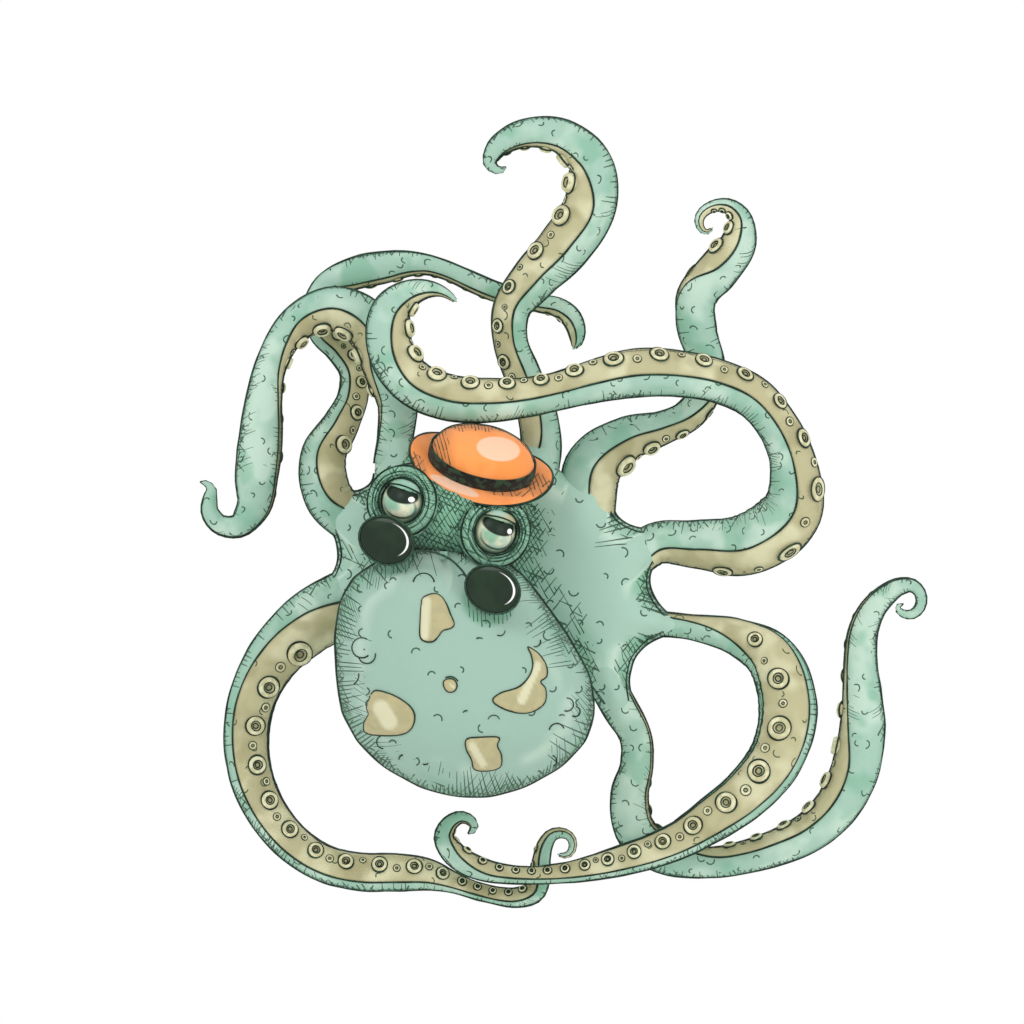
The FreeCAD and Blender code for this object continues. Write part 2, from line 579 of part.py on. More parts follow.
steps = (0.0, 0.5, 1.0)
underneath = [brim_ring(-BRIM_THICKNESS, across) for across in steps]
on_top = [brim_ring(0.0, across) for across in reversed(steps)]
opening = [(-2 * BRIM_THICKNESS, 1.0), (BRIM_THICKNESS, 1.0)]
brim = sewn(underneath + on_top).cut(sewn(hat_rings(opening, HAT_HALF_WIDTH, HAT_HALF_DEPTH, -BRIM_UNDER_CROWN)))
save("hat_brim", brim)
# The stuffed crown stands on the brim and fills its opening down to the head
plug = sewn(hat_rings([(-BRIM_THICKNESS, 1.0), (BRIM_THICKNESS, 1.0)], HAT_HALF_WIDTH, HAT_HALF_DEPTH,
                      -BRIM_UNDER_CROWN))
crown = sewn(hat_rings(HAT_PROFILE, HAT_HALF_WIDTH, HAT_HALF_DEPTH)).fuse(plug).cut(brim)
save("hat_crown", crown)

band_profile = [(0, 1.0), (BAND_HEIGHT, 0.985)]
band = sewn(hat_rings(band_profile, HAT_HALF_WIDTH, HAT_HALF_DEPTH, BAND_THICKNESS))
save("hat_band", band.cut(crown).cut(brim))

# The head and the eye rings give way to the brim's underside, and the rings to the mantle
above_brim = [brim_ring(HAT_HALF_WIDTH * 2, across) for across in (1.0, 0.0)]
hat_space = sewn(underneath + above_brim)
head = head.cut(hat_space)
save("head", head)
for label, socket in sockets.items():
    save("eye_socket_" + label, socket.cut(hat_space).cut(mantle))


# ---- Glasses: one flat wire frame with two dark lenses, resting on a pad on the mantle ----

left_lens = V(GLASSES_LEFT[0], head_middle.y - HEAD_HALF_DEPTH - LENS_BEFORE_HEAD, GLASSES_LEFT[1])
right_lens = V(GLASSES_RIGHT[0], mantle_y - mantle_half_depth + LENS_BEHIND_MANTLE, GLASSES_RIGHT[1])
glasses_side = unit(right_lens - left_lens)
glasses_front = unit(V(0, 0, 1).cross(glasses_side)) * -1
glasses_up = unit(glasses_side.cross(glasses_front)) * -1
if glasses_up.z < 0:
    glasses_up = glasses_up * -1


def lens_blank(centre, grow, depth):
    """Oval plate across the lens, middle at centre."""
    return sewn([oval_ring(centre + glasses_front * (depth / 2 * s), glasses_side, glasses_up,
                           LENS_HALF_WIDTH + grow, LENS_HALF_HEIGHT + grow, LENS_SIDES) for s in (-1, 1)])


rims = []
for label, centre in (("left", left_lens), ("right", right_lens)):
    lens = lens_blank(centre, 0.0, LENS_THICKNESS)
    save("lens_" + label, lens)
    rims.append(lens_blank(centre, RIM_WIDTH, RIM_DEPTH).cut(lens_blank(centre, 0.0, 2 * RIM_DEPTH)))

# The bridge is a flat bow between the rims
middle = (left_lens + right_lens) / 2
bridge_half = (right_lens - left_lens).Length / 2 - LENS_HALF_WIDTH - RIM_WIDTH / 2
BRIDGE_STEPS = 8
bow = [(2.0 * k / BRIDGE_STEPS - 1, BRIDGE_RISE * (1 - (2.0 * k / BRIDGE_STEPS - 1) ** 2))
       for k in range(BRIDGE_STEPS + 1)]
lower = [middle + glasses_side * (u * bridge_half) + glasses_up * (v - BRIDGE_THICKNESS / 2) for u, v in bow]
upper = [middle + glasses_side * (u * bridge_half) + glasses_up * (v + BRIDGE_THICKNESS / 2) for u, v in bow]
bridge = Part.Face(Part.makePolygon(lower + upper[::-1] + lower[:1]))
bridge.translate(glasses_front * (-RIM_DEPTH / 2))
frame = rims[0].fuse([rims[1], bridge.extrude(glasses_front * RIM_DEPTH)]).removeSplitter()
save("glasses_frame", frame)

pad_top = middle + glasses_up * BRIDGE_RISE
pad = Part.makeBox(BRIDGE_PAD, abs(pad_top.y - head_middle.y), BRIDGE_PAD,
                   pad_top - V(BRIDGE_PAD / 2, 0, BRIDGE_PAD / 2))
pad = pad.cut(mantle).cut(head).cut(frame)
near = [s for s in pad.Solids if s.distToShape(frame)[0] < SEAT and s.distToShape(mantle)[0] < SEAT]
save("bridge_pad", near[0])
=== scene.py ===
import json
import math
import bmesh
import bpy
import numpy as np
from mathutils import Matrix, Vector, noise
from mathutils.bvhtree import BVHTree
from mathutils.geometry import delaunay_2d_cdt


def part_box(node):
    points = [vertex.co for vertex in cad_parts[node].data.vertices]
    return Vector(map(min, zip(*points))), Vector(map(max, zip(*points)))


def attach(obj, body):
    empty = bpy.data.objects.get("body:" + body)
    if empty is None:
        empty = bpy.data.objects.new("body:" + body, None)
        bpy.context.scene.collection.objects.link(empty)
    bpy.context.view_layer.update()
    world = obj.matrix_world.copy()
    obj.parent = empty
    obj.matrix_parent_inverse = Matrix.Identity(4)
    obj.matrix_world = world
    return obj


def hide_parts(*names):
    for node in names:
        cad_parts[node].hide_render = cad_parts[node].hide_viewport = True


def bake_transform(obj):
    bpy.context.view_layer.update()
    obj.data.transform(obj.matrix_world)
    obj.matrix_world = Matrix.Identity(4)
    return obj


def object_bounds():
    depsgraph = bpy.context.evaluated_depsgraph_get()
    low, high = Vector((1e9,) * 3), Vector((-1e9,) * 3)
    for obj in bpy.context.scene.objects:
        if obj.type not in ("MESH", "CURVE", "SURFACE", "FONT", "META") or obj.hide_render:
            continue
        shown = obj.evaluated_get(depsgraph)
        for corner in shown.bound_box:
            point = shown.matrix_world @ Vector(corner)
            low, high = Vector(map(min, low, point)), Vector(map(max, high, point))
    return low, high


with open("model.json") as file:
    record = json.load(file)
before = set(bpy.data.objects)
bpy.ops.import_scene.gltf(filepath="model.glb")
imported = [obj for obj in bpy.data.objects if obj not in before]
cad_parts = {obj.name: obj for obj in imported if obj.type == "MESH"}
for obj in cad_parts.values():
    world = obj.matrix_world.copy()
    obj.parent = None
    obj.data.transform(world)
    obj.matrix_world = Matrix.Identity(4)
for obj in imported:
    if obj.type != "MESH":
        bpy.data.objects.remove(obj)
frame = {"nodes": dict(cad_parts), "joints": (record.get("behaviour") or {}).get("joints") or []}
cad_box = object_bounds()
nodes = frame["nodes"]
pins = {j["child"]: Vector(j["pos_m"]) for j in frame["joints"]}
arms = sorted(pins)
hub = sum(pins.values(), Vector()) / len(pins)

# ---- Camera: square to the kite's face, far enough back that the figure shows little perspective ----

DISTANCE = 24.0
VIEW_WIDTH = 2.048                  # metres across the view at the hub
VIEW_X, VIEW_Z = 0.024, 0.136       # middle of the view
camera = bpy.data.objects.new("camera", bpy.data.cameras.new("camera"))
bpy.context.scene.collection.objects.link(camera)
camera.location = (VIEW_X, hub.y - DISTANCE, VIEW_Z)
camera.rotation_euler = (math.radians(90), 0, 0)
camera.data.sensor_width = 36.0
camera.data.lens = camera.data.sensor_width * DISTANCE / VIEW_WIDTH
camera.data.clip_end = 200.0
bpy.context.scene.camera = camera
bpy.context.scene.view_settings.view_transform = "Standard"


def linear(code):
    """sRGB hex as linear RGBA."""
    parts = [int(code[k:k + 2], 16) / 255 for k in (1, 3, 5)]
    return tuple(p / 12.92 if p <= 0.04045 else ((p + 0.055) / 1.055) ** 2.4 for p in parts) + (1.0,)


def add(tree, kind, inputs=None, **settings):
    """One node, with its inputs set to a value or linked to a socket."""
    node = tree.nodes.new(kind)
    for key, value in settings.items():
        setattr(node, key, value)
    for key, value in (inputs or {}).items():
        if isinstance(value, bpy.types.NodeSocket):
            tree.links.new(value, node.inputs[key])
        else:
            node.inputs[key].default_value = value
    return node


# ---- Room: a white floor under the kite, white air behind it, and soft studio lamps ----

def camera_sees(tree):
    """1 for a ray from the camera, or for one that it sees in gloss or through glass."""
    path = add(tree, "ShaderNodeLightPath")
    seen = add(tree, "ShaderNodeMath", {0: path.outputs["Is Camera Ray"], 1: path.outputs["Is Glossy Ray"]},
               operation="MAXIMUM").outputs[0]
    return add(tree, "ShaderNodeMath", {0: seen, 1: path.outputs["Is Transmission Ray"]},
               operation="MAXIMUM").outputs[0]


FLOOR_HALF = 6                      # half the side of the floor
FLOOR_DROP = 0.32                   # floor below the lowest point of the kite
world = bpy.data.worlds.new("studio")
bpy.context.scene.world = world
world.use_nodes = True
tree = world.node_tree
tree.nodes.clear()
ambient = add(tree, "ShaderNodeBackground", {"Color": (1, 1, 1, 1), "Strength": 0.90})
white = add(tree, "ShaderNodeBackground", {"Color": (1, 1, 1, 1), "Strength": 1.0})
choice = add(tree, "ShaderNodeMixShader", {0: camera_sees(tree), 1: ambient.outputs[0], 2: white.outputs[0]})
add(tree, "ShaderNodeOutputWorld", {"Surface": choice.outputs[0]})

paper = bpy.data.materials.new("studio_floor_paint")
paper.use_nodes = True
tree = paper.node_tree
tree.nodes.clear()
paint = add(tree, "ShaderNodeBsdfDiffuse", {"Color": linear("#f4f4f2"), "Roughness": 0.6})
glow = add(tree, "ShaderNodeEmission", {"Color": (1, 1, 1, 1), "Strength": 1.0})
share = add(tree, "ShaderNodeMath", {0: camera_sees(tree), 1: 0.94}, operation="MULTIPLY").outputs[0]
mixed = add(tree, "ShaderNodeMixShader", {0: share, 1: paint.outputs[0], 2: glow.outputs[0]})
add(tree, "ShaderNodeOutputMaterial", {"Surface": mixed.outputs[0]})
mesh = bpy.data.meshes.new("studio_floor")
mesh.from_pydata([(x * FLOOR_HALF, y * FLOOR_HALF, 0) for x, y in ((-1, -1), (1, -1), (1, 1), (-1, 1))],
                 [], [(0, 1, 2, 3)])
mesh.materials.append(paper)
floor = bpy.data.objects.new("studio_floor", mesh)
floor.location = (0, hub.y, cad_box[0].z - FLOOR_DROP)
bpy.context.scene.collection.objects.link(floor)

for name, place, size, watts in (("key_lamp", (-2.2, -4.6, 3.4), 2.8, 66),
                                 ("fill_lamp", (3.2, -4.2, 0.6), 3.0, 46),
                                 ("back_lamp", (0.6, 4.2, 2.8), 2.6, 90)):
    lamp = bpy.data.objects.new(name, bpy.data.lights.new(name, "AREA"))
    lamp.data.shape = "DISK"
    lamp.data.size = size
    lamp.data.energy = watts
    lamp.location = place
    lamp.rotation_euler = (hub - Vector(place)).to_track_quat("-Z", "Y").to_euler()
    bpy.context.scene.collection.objects.link(lamp)


# ---- Cloth of the arms: ripstop nylon, dyed in pools of pale and deeper green, with painted shade along both sides of
# each arm, as deeper green and as inked strokes that run in from the edges as printed shading does, and short ticks
# scattered over it ----

def calc(tree, operation, a, b=0.0, c=0.0):
    return add(tree, "ShaderNodeMath", {0: a, 1: b, 2: c}, operation=operation).outputs[0]


def blended(tree, factor, a, b):
    """Colour a, or b where the factor is 1."""
    node = add(tree, "ShaderNodeMix", data_type="RGBA")
    for index, value in ((0, factor), (6, a), (7, b)):
        if isinstance(value, bpy.types.NodeSocket):
            tree.links.new(value, node.inputs[index])
        else:
            node.inputs[index].default_value = value
    return node.outputs[2]


def place_of(tree):
    """Where a point of the surface is, in metres."""
    return add(tree, "ShaderNodeTexCoord").outputs["Object"]


def layout_of(tree, name):
    """The two directions of a named layout of the surface."""
    flat = add(tree, "ShaderNodeSeparateXYZ", {0: add(tree, "ShaderNodeUVMap", uv_map=name).outputs[0]})
    return flat.outputs[0], flat.outputs[1]


def grain(tree, coords, scale, detail=2.0):
    """Noise of this many cells in a metre."""
    return add(tree, "ShaderNodeTexNoise", {"Vector": coords, "Scale": scale, "Detail": detail}).outputs["Fac"]


def cloudy(tree, coords, scale, low, high, detail=2.0):
    """Soft patches: 0 below low and 1 above high of a noise."""
    ramp = add(tree, "ShaderNodeMapRange",
               {"Value": grain(tree, coords, scale, detail), "From Min": low, "From Max": high},
               interpolation_type="SMOOTHSTEP")
    return ramp.outputs["Result"]


def new_material(name):
    material = bpy.data.materials.new(name)
    material.use_nodes = True
    material.node_tree.nodes.clear()
    return material, material.node_tree


def finish_cloth(tree, colour, height, roughness=0.78, bump=0.35, sheen=0.12):
    """Woven cloth: matt, with a little sheen, and height as its relief in millimetres."""
    relief = add(tree, "ShaderNodeBump", {"Strength": bump, "Distance": 0.001, "Height": height})
    shader = add(tree, "ShaderNodeBsdfPrincipled",
                 {"Base Color": colour, "Roughness": roughness, "Normal": relief.outputs[0],
                  "Sheen Weight": sheen, "Sheen Roughness": 0.5, "Specular IOR Level": 0.25})
    add(tree, "ShaderNodeOutputMaterial", {"Surface": shader.outputs[0]})


RIPSTOP_GRID = 0.006                # metres between the raised threads of the nylon
WEAVE = 0.0012                      # and between the threads of its plain weave
INK_SHARE = 0.88                    # how far a stroke covers the cloth's own colour


def ripstop(tree, across, along):
    """Relief of the weave: a raised thread both ways, and the plain weave between."""
    height = 0.0
    for metres in (across, along):
        phase = calc(tree, "MULTIPLY", metres, 1 / RIPSTOP_GRID)
        wave = calc(tree, "PINGPONG", phase, 0.5)
        thread = calc(tree, "LESS_THAN", wave, 0.07)
        fine = calc(tree, "SINE", calc(tree, "MULTIPLY", metres, 2 * math.pi / WEAVE))
        height = calc(tree, "ADD", calc(tree, "MULTIPLY_ADD", fine, 0.06, thread), height)
    return height


def strokes(tree, along, from_edge, reach, pitch, clumps):
    """Ink strokes that start at an edge and run in: 1 on a stroke."""
    leaning = calc(tree, "MULTIPLY_ADD", from_edge, 0.30 / reach, calc(tree, "MULTIPLY", along, 1 / pitch))
    cell = calc(tree, "FLOOR", leaning)
    off = calc(tree, "ABSOLUTE", calc(tree, "SUBTRACT", calc(tree, "FRACT", leaning), 0.5))
    luck = add(tree, "ShaderNodeTexWhiteNoise", {"W": cell}, noise_dimensions="1D").outputs["Value"]
    length = calc(tree, "MULTIPLY", calc(tree, "MULTIPLY", luck, clumps), reach)
    inside = calc(tree, "LESS_THAN", from_edge, length)
    narrow = calc(tree, "MULTIPLY", calc(tree, "DIVIDE", from_edge, calc(tree, "MAXIMUM", length, 1e-4)), 0.12)
    thin = calc(tree, "LESS_THAN", off, calc(tree, "SUBTRACT", 0.20, narrow))
    return calc(tree, "MULTIPLY", inside, thin)


def pen_arcs(tree, across, along, size, share):
    """Small open arcs and ticks of ink, scattered over the cloth: 1 on a line."""
    where = add(tree, "ShaderNodeCombineXYZ", {0: calc(tree, "MULTIPLY", along, 1 / size),
                                               1: calc(tree, "MULTIPLY", across, 1 / size)}).outputs[0]
    cells = add(tree, "ShaderNodeTexVoronoi", {"Vector": where, "Scale": 1.0, "Randomness": 1.0},
                voronoi_dimensions="2D")
    parts = add(tree, "ShaderNodeSeparateColor", {0: cells.outputs["Color"]}).outputs
    off = add(tree, "ShaderNodeVectorMath", {0: where, 1: cells.outputs["Position"]}, operation="SUBTRACT")
    angle = calc(tree, "MULTIPLY", parts[1], 6.28)
    turned_off = add(tree, "ShaderNodeVectorRotate", {0: off.outputs[0], "Angle": angle}, rotation_type="Z_AXIS")
    local = add(tree, "ShaderNodeSeparateXYZ", {0: turned_off.outputs[0]})
    radius = calc(tree, "MULTIPLY_ADD", parts[2], 0.10, 0.12)
    from_line = calc(tree, "ABSOLUTE", calc(tree, "SUBTRACT", cells.outputs["Distance"], radius))
    line = calc(tree, "LESS_THAN", from_line, 0.034)
    arc = calc(tree, "MULTIPLY", line, calc(tree, "GREATER_THAN", local.outputs[1], 0.02))
    return calc(tree, "MULTIPLY", arc, calc(tree, "LESS_THAN", parts[0], share))


def slanted(tree, place, degrees, sway=0.008):
    """Two directions over the front view, a little wavy: across the pen strokes and along them."""
    xyz = add(tree, "ShaderNodeSeparateXYZ", {0: place}).outputs
    c, s = math.cos(math.radians(degrees)), math.sin(math.radians(degrees))
    wave = calc(tree, "MULTIPLY", grain(tree, place, 16.0), sway)
    across = calc(tree, "MULTIPLY_ADD", xyz[0], c, calc(tree, "MULTIPLY_ADD", xyz[2], s, wave))
    return across, calc(tree, "MULTIPLY_ADD", xyz[2], c, calc(tree, "MULTIPLY", xyz[0], -s))


def hatch(tree, place, degrees, pitch, length, share, width=0.17):
    """Rows of short parallel pen strokes: 1 on a stroke. Share is how many of them are drawn."""
    across, along = slanted(tree, place, degrees)
    row = calc(tree, "MULTIPLY", across, 1 / pitch)
    cell = calc(tree, "FLOOR", row)
    off = calc(tree, "ABSOLUTE", calc(tree, "SUBTRACT", calc(tree, "FRACT", row), 0.5))
    start = add(tree, "ShaderNodeTexWhiteNoise", {"W": cell}, noise_dimensions="1D").outputs["Value"]
    step = calc(tree, "MULTIPLY_ADD", along, 1 / length, calc(tree, "MULTIPLY", start, 7.3))
    both = add(tree, "ShaderNodeCombineXYZ", {0: cell, 1: calc(tree, "FLOOR", step)}).outputs[0]
    luck = add(tree, "ShaderNodeTexWhiteNoise", {"Vector": both}, noise_dimensions="2D").outputs["Value"]
    taper = calc(tree, "SUBTRACT", width, calc(tree, "MULTIPLY", calc(tree, "FRACT", step), width * 0.6))
    return calc(tree, "MULTIPLY", calc(tree, "LESS_THAN", luck, share), calc(tree, "LESS_THAN", off, taper))


def falling(tree, value, first, last, top=1.0):
    """From top at the first value down to 0 at the last, eased."""
    return add(tree, "ShaderNodeMapRange", {"Value": value, "From Min": first, "From Max": last, "To Min": top,
                                            "To Max": 0.0}, interpolation_type="SMOOTHSTEP").outputs[0]


def oval(tree, across, upward, middle, half, soft=0.06):
    """1 inside an oval, fading over its edge."""
    dx = calc(tree, "DIVIDE", calc(tree, "SUBTRACT", across, middle[0]), half[0])
    dy = calc(tree, "DIVIDE", calc(tree, "SUBTRACT", upward, middle[1]), half[1])
    size = calc(tree, "SQRT", calc(tree, "ADD", calc(tree, "MULTIPLY", dx, dx), calc(tree, "MULTIPLY", dy, dy)))
    return add(tree, "ShaderNodeMapRange", {"Value": size, "From Min": 1 - soft, "From Max": 1 + soft, "To Min": 1.0,
                                            "To Max": 0.0}).outputs[0]


def leaning_oval(tree, place, middle, half, degrees, soft=0.06):
    """An oval over the front view at x and z in metres, its long way turned by some degrees."""
    xyz = add(tree, "ShaderNodeSeparateXYZ", {0: place}).outputs
    c, s = math.cos(math.radians(degrees)), math.sin(math.radians(degrees))
    dx, dz = calc(tree, "SUBTRACT", xyz[0], middle[0]), calc(tree, "SUBTRACT", xyz[2], middle[1])
    return oval(tree, calc(tree, "MULTIPLY_ADD", dx, c, calc(tree, "MULTIPLY", dz, s)),
                calc(tree, "MULTIPLY_ADD", dz, c, calc(tree, "MULTIPLY", dx, -s)), (0.0, 0.0), half, soft)


def sleeve_cloth(name, pale, body, deep, ink, stroke_reach, tick_share, cross_share=0.0):
    """Dyed cloth of an arm, with painted shade along both its sides, laid out along it: u is metres along, v metres
    across, turn is the angle.
    """
    material, tree = new_material(name)
    along, across = layout_of(tree, "cloth")
    turn = layout_of(tree, "turn")[1]
    place = place_of(tree)
    colour = blended(tree, cloudy(tree, place, 9, 0.46, 0.60), linear(body), linear(pale))
    # Painted shade: deeper green towards both sides of the arm, at turns of 0 and 180 degrees
    edge = calc(tree, "PINGPONG", turn, 0.25)
    shadow = falling(tree, edge, 0.02, 0.13, 0.75)
    pools = cloudy(tree, place, 14, 0.48, 0.66)
    colour = blended(tree, calc(tree, "MAXIMUM", shadow, calc(tree, "MULTIPLY", pools, 0.6)), colour, linear(deep))
    # Inked strokes of painted shade run in from both sides
    clumps = cloudy(tree, place, 7, 0.34, 0.56, 1.0)
    inked = strokes(tree, along, edge, stroke_reach, 0.008, clumps)
    dense = cloudy(tree, place, 9, 0.50, 0.66, 1.0)
    inked = calc(tree, "MAXIMUM", inked, strokes(tree, calc(tree, "MULTIPLY_ADD", edge, 0.10, along), edge,
                                                 stroke_reach * 1.3, 0.0065, dense))
    # Crossed pen strokes of painted shade, in patches along both sides
    side_shade_hatch = calc(tree, "MULTIPLY", falling(tree, edge, 0.03, 0.15, cross_share),
                    cloudy(tree, place, 6, 0.50, 0.60))
    for degrees, close, run in ((40, 0.009, 0.035), (-30, 0.0105, 0.028)):
        inked = calc(tree, "MAXIMUM", inked, hatch(tree, place, degrees, close, run, side_shade_hatch))
    inked = calc(tree, "MAXIMUM", inked, pen_arcs(tree, across, along, 0.040, tick_share))
    colour = blended(tree, calc(tree, "MULTIPLY", inked, INK_SHARE), colour, linear(ink))
    finish_cloth(tree, colour, ripstop(tree, across, along))
    return material


# Green ripstop: pale mint, with sea green in random pools and as painted shade along the sides of each arm
green_cloth = sleeve_cloth("green_ripstop", "#bcd6c5", "#a1c3b1", "#79b094", "#1d4029", 0.19, 0.72, 0.9)
# Tan ripstop of the undersides: putty, with painted shade making it darker towards the arm's sides, where it meets
# the green
tan_cloth = sleeve_cloth("tan_ripstop", "#d2cfaa", "#b9b48d", "#9c966e", "#2b4a32", 0.07, 0.30)

# Piping: dark green cord sewn into every seam, which draws the outline of the kite
piping, tree = new_material("piping_cord")
place = place_of(tree)
twist = add(tree, "ShaderNodeTexWave", {"Vector": place, "Scale": 260.0, "Distortion": 0.6},
            bands_direction="DIAGONAL")
colour = blended(tree, cloudy(tree, place, 40, 0.40, 0.62), linear("#12291b"), linear("#1f4230"))
finish_cloth(tree, colour, twist.outputs["Fac"], roughness=0.7, bump=0.5, sheen=0.05)


def link(name, mesh, materials, smooth=True):
    """A new object for this mesh, with its materials."""
    for material in materials:
        mesh.materials.append(material)
    if smooth:
        mesh.polygons.foreach_set("use_smooth", [True] * len(mesh.polygons))
    obj = bpy.data.objects.new(name, mesh)
    bpy.context.scene.collection.objects.link(obj)
    return obj


# ---- Arms: each sleeve follows the rings of seam corners of its solids, swollen between its seams ----

ARM_DEPTH = 0.8                     # depth of an arm as a share of its width
SEAM = 60                           # degrees from the middle of the underside to each seam
TIP = 0.010                         # length over which a tip closes


def seam_rings(body):
    """Centre, radius, travel and lean of each ring of corners along an arm, from its mouth to its tip."""
    number, places, links, under = {}, [], [], set()
    for part in ("_back", "_underside"):
        mesh = nodes[body + part].data
        own = []
        for vertex in mesh.vertices:
            key = tuple(round(c, 5) for c in vertex.co)
            if key not in number:
                number[key] = len(places)
                places.append(tuple(vertex.co))
                links.append(set())
            own.append(number[key])
            if part == "_underside":
                under.add(number[key])
        for edge in mesh.edges:
            a, b = (own[k] for k in edge.vertices)
            if a != b:
                links[a].add(b)
                links[b].add(a)
    places = np.array(places)
    corners = len(places) // (len(under) // 4)
    layer = set(np.argsort(np.linalg.norm(places - np.array(pins[body]), axis=1))[:corners].tolist())
    seen = set(layer)
    found = []
    before = np.array(pins[body])
    while layer:
        ring = places[sorted(layer)]
        middle = ring.mean(axis=0)
        travel = np.linalg.svd(ring - middle)[2][2]
        travel = travel * np.sign(np.dot(travel, middle - before))
        travel = np.array((travel[0], 0.0, travel[2])) / math.hypot(travel[0], travel[2])
        left = np.array((-travel[2], 0.0, travel[0]))
        u, v = ring @ left, -ring[:, 1] / ARM_DEPTH
        fit = np.linalg.lstsq(np.stack([2 * u, 2 * v, np.ones(len(u))], 1), u * u + v * v, rcond=None)[0]
        radius = math.sqrt(fit[2] + fit[0] ** 2 + fit[1] ** 2)
        along = float(np.mean(ring @ travel))
        centre = left * fit[0] + travel * along + np.array((0.0, -ARM_DEPTH * fit[1], 0.0))
        below = places[sorted(layer & under)]
        lean = math.atan2((-below[:, 1] / ARM_DEPTH - fit[1]).mean(), (below @ left - fit[0]).mean())
        found.append((centre, radius, lean))
        before = middle
        layer = {b for a in layer for b in links[a]} - seen
        seen |= layer
    return found


def smooth_track(values, knots, at):
    """Values at knots carried on a smooth curve to other places."""
    values = np.asarray(values, float)
    slopes = np.gradient(values, knots, axis=0)
    k = np.clip(np.searchsorted(knots, at, side="right") - 1, 0, len(knots) - 2)
    span = knots[k + 1] - knots[k]
    t = (at - knots[k]) / span
    if values.ndim > 1:
        t, span = t[:, None], span[:, None]
    return ((2 * t ** 3 - 3 * t ** 2 + 1) * values[k] + (t ** 3 - 2 * t ** 2 + t) * span * slopes[k]
            + (3 * t ** 2 - 2 * t ** 3) * values[k + 1] + (t ** 3 - t ** 2) * span * slopes[k + 1])


class Sleeve:
    """Smooth run of an arm: places, travel, radius and lean every few millimetres, with a rounded tip."""

    def __init__(self, body, step=0.005):
        self.body = body
        rings = seam_rings(body)
        centres = np.array([r[0] for r in rings])
        knots = np.concatenate([[0], np.cumsum(np.linalg.norm(np.diff(centres, axis=0), axis=1))])
        leans = np.unwrap([r[2] for r in rings])
        self.at = np.linspace(0, knots[-1], int(knots[-1] / step))
        self.centre = smooth_track(centres, knots, self.at)
        self.radius = smooth_track([r[1] for r in rings], knots, self.at)
        self.lean = smooth_track(leans, knots, self.at)
        travel = np.gradient(self.centre, self.at, axis=0)
        travel[:, 1] = 0
        self.travel = travel / np.linalg.norm(travel, axis=1)[:, None]
        self.left = np.stack([-self.travel[:, 2], np.zeros(len(self.at)), self.travel[:, 0]], 1)
        turned = np.arctan2(self.travel[:, 2], self.travel[:, 0])
        self.bend = np.gradient(np.unwrap(turned), self.at)
        # the tip closes in a rounded point
        self.radius = self.radius * np.sqrt(np.clip((knots[-1] - self.at) / TIP, 0.02, 1.0))

    def point(self, k, angle, grow=0.0):
        """Skin of the sleeve at a station and an angle, in degrees from the left of travel to the viewer."""
        a = math.radians(angle)
        half = math.degrees(self.lean[k])
        dips = sum(math.exp(-(((angle - half - s + 180) % 360 - 180) / 11.0) ** 2) for s in (-SEAM, SEAM, 180))
        # cloth on the inside of a bend folds into cross wrinkles
        inner = max(0.0, math.cos(a) * self.bend[k]) * self.radius[k]
        fold = min(inner, 0.6) * 0.030 * math.sin(self.at[k] * 2 * math.pi / 0.026 + 1.3 * math.sin(3 * a))
        where = Vector((self.at[k] * 22, math.cos(a) * 1.4, math.sin(a) * 1.4)) + Vector(pins[self.body]) * 31
        crease = 0.016 * noise.noise(where) + 0.008 * noise.noise(where * 2.7)
        size = self.radius[k] * (1.0 - 0.045 * dips + fold + crease) + grow
        out = self.left[k] * (size * math.cos(a)) + np.array((0, -ARM_DEPTH * size * math.sin(a), 0))
        return self.centre[k] + out


def lay_out(mesh, name, values):
    """A named layout of the mesh, from a pair of values for each of its vertices."""
    index = np.empty(len(mesh.loops), dtype=np.int64)
    mesh.loops.foreach_get("vertex_index", index)
    layer = mesh.uv_layers.new(name=name)
    layer.data.foreach_set("uv", np.asarray(values, float)[index].ravel())


def closed_mesh(name, points, faces):
    """A mesh whose faces all look outwards."""
    mesh = bpy.data.meshes.new(name)
    mesh.from_pydata([tuple(p) for p in points], [], faces)
    made = bmesh.new()
    made.from_mesh(mesh)
    bmesh.ops.recalc_face_normals(made, faces=made.faces)
    made.to_mesh(mesh)
    made.free()
    return mesh


def ring_mesh(name, rings, layouts=(), hoop=False):
    """Closed skin through rings of equally many points, with ends or, as a hoop, joined end to start."""
    rows, count = len(rings), len(rings[0])
    faces = [(r * count + k, r * count + (k + 1) % count, (r + 1) % rows * count + (k + 1) % count,
              (r + 1) % rows * count + k) for r in range(rows if hoop else rows - 1) for k in range(count)]
    if not hoop:
        faces += [tuple(range(count))[::-1], tuple(range((rows - 1) * count, rows * count))]
    mesh = closed_mesh(name, [p for ring in rings for p in ring], faces)
    for layout, values in layouts:
        lay_out(mesh, layout, values)
    return mesh


def sheet_mesh(name, front, back, faces, rim):
    """Closed mesh between two layers of the same faces. The first points of a layer, as many as rim, are
    its edge."""
    count = len(front)
    polys = [tuple(f) for f in faces] + [tuple(k + count for k in f[::-1]) for f in faces]
    polys += [(k, (k + 1) % rim, (k + 1) % rim + count, k + count) for k in range(rim)]
    return closed_mesh(name, front + back, polys)


def circle(centre, side, up, wide, high, sides):
    """Points round an oval, from its side over its top."""
    angles = [2 * math.pi * k / sides for k in range(sides)]
    return [centre + side * (wide * math.cos(a)) + up * (high * math.sin(a)) for a in angles]


def disc_layout(sizes, sides):
    """Layout of rings seen from the front, from the size of each."""
    angles = [2 * math.pi * k / sides for k in range(sides)]
    return [(s * math.cos(a), s * math.sin(a)) for s in sizes for a in angles]


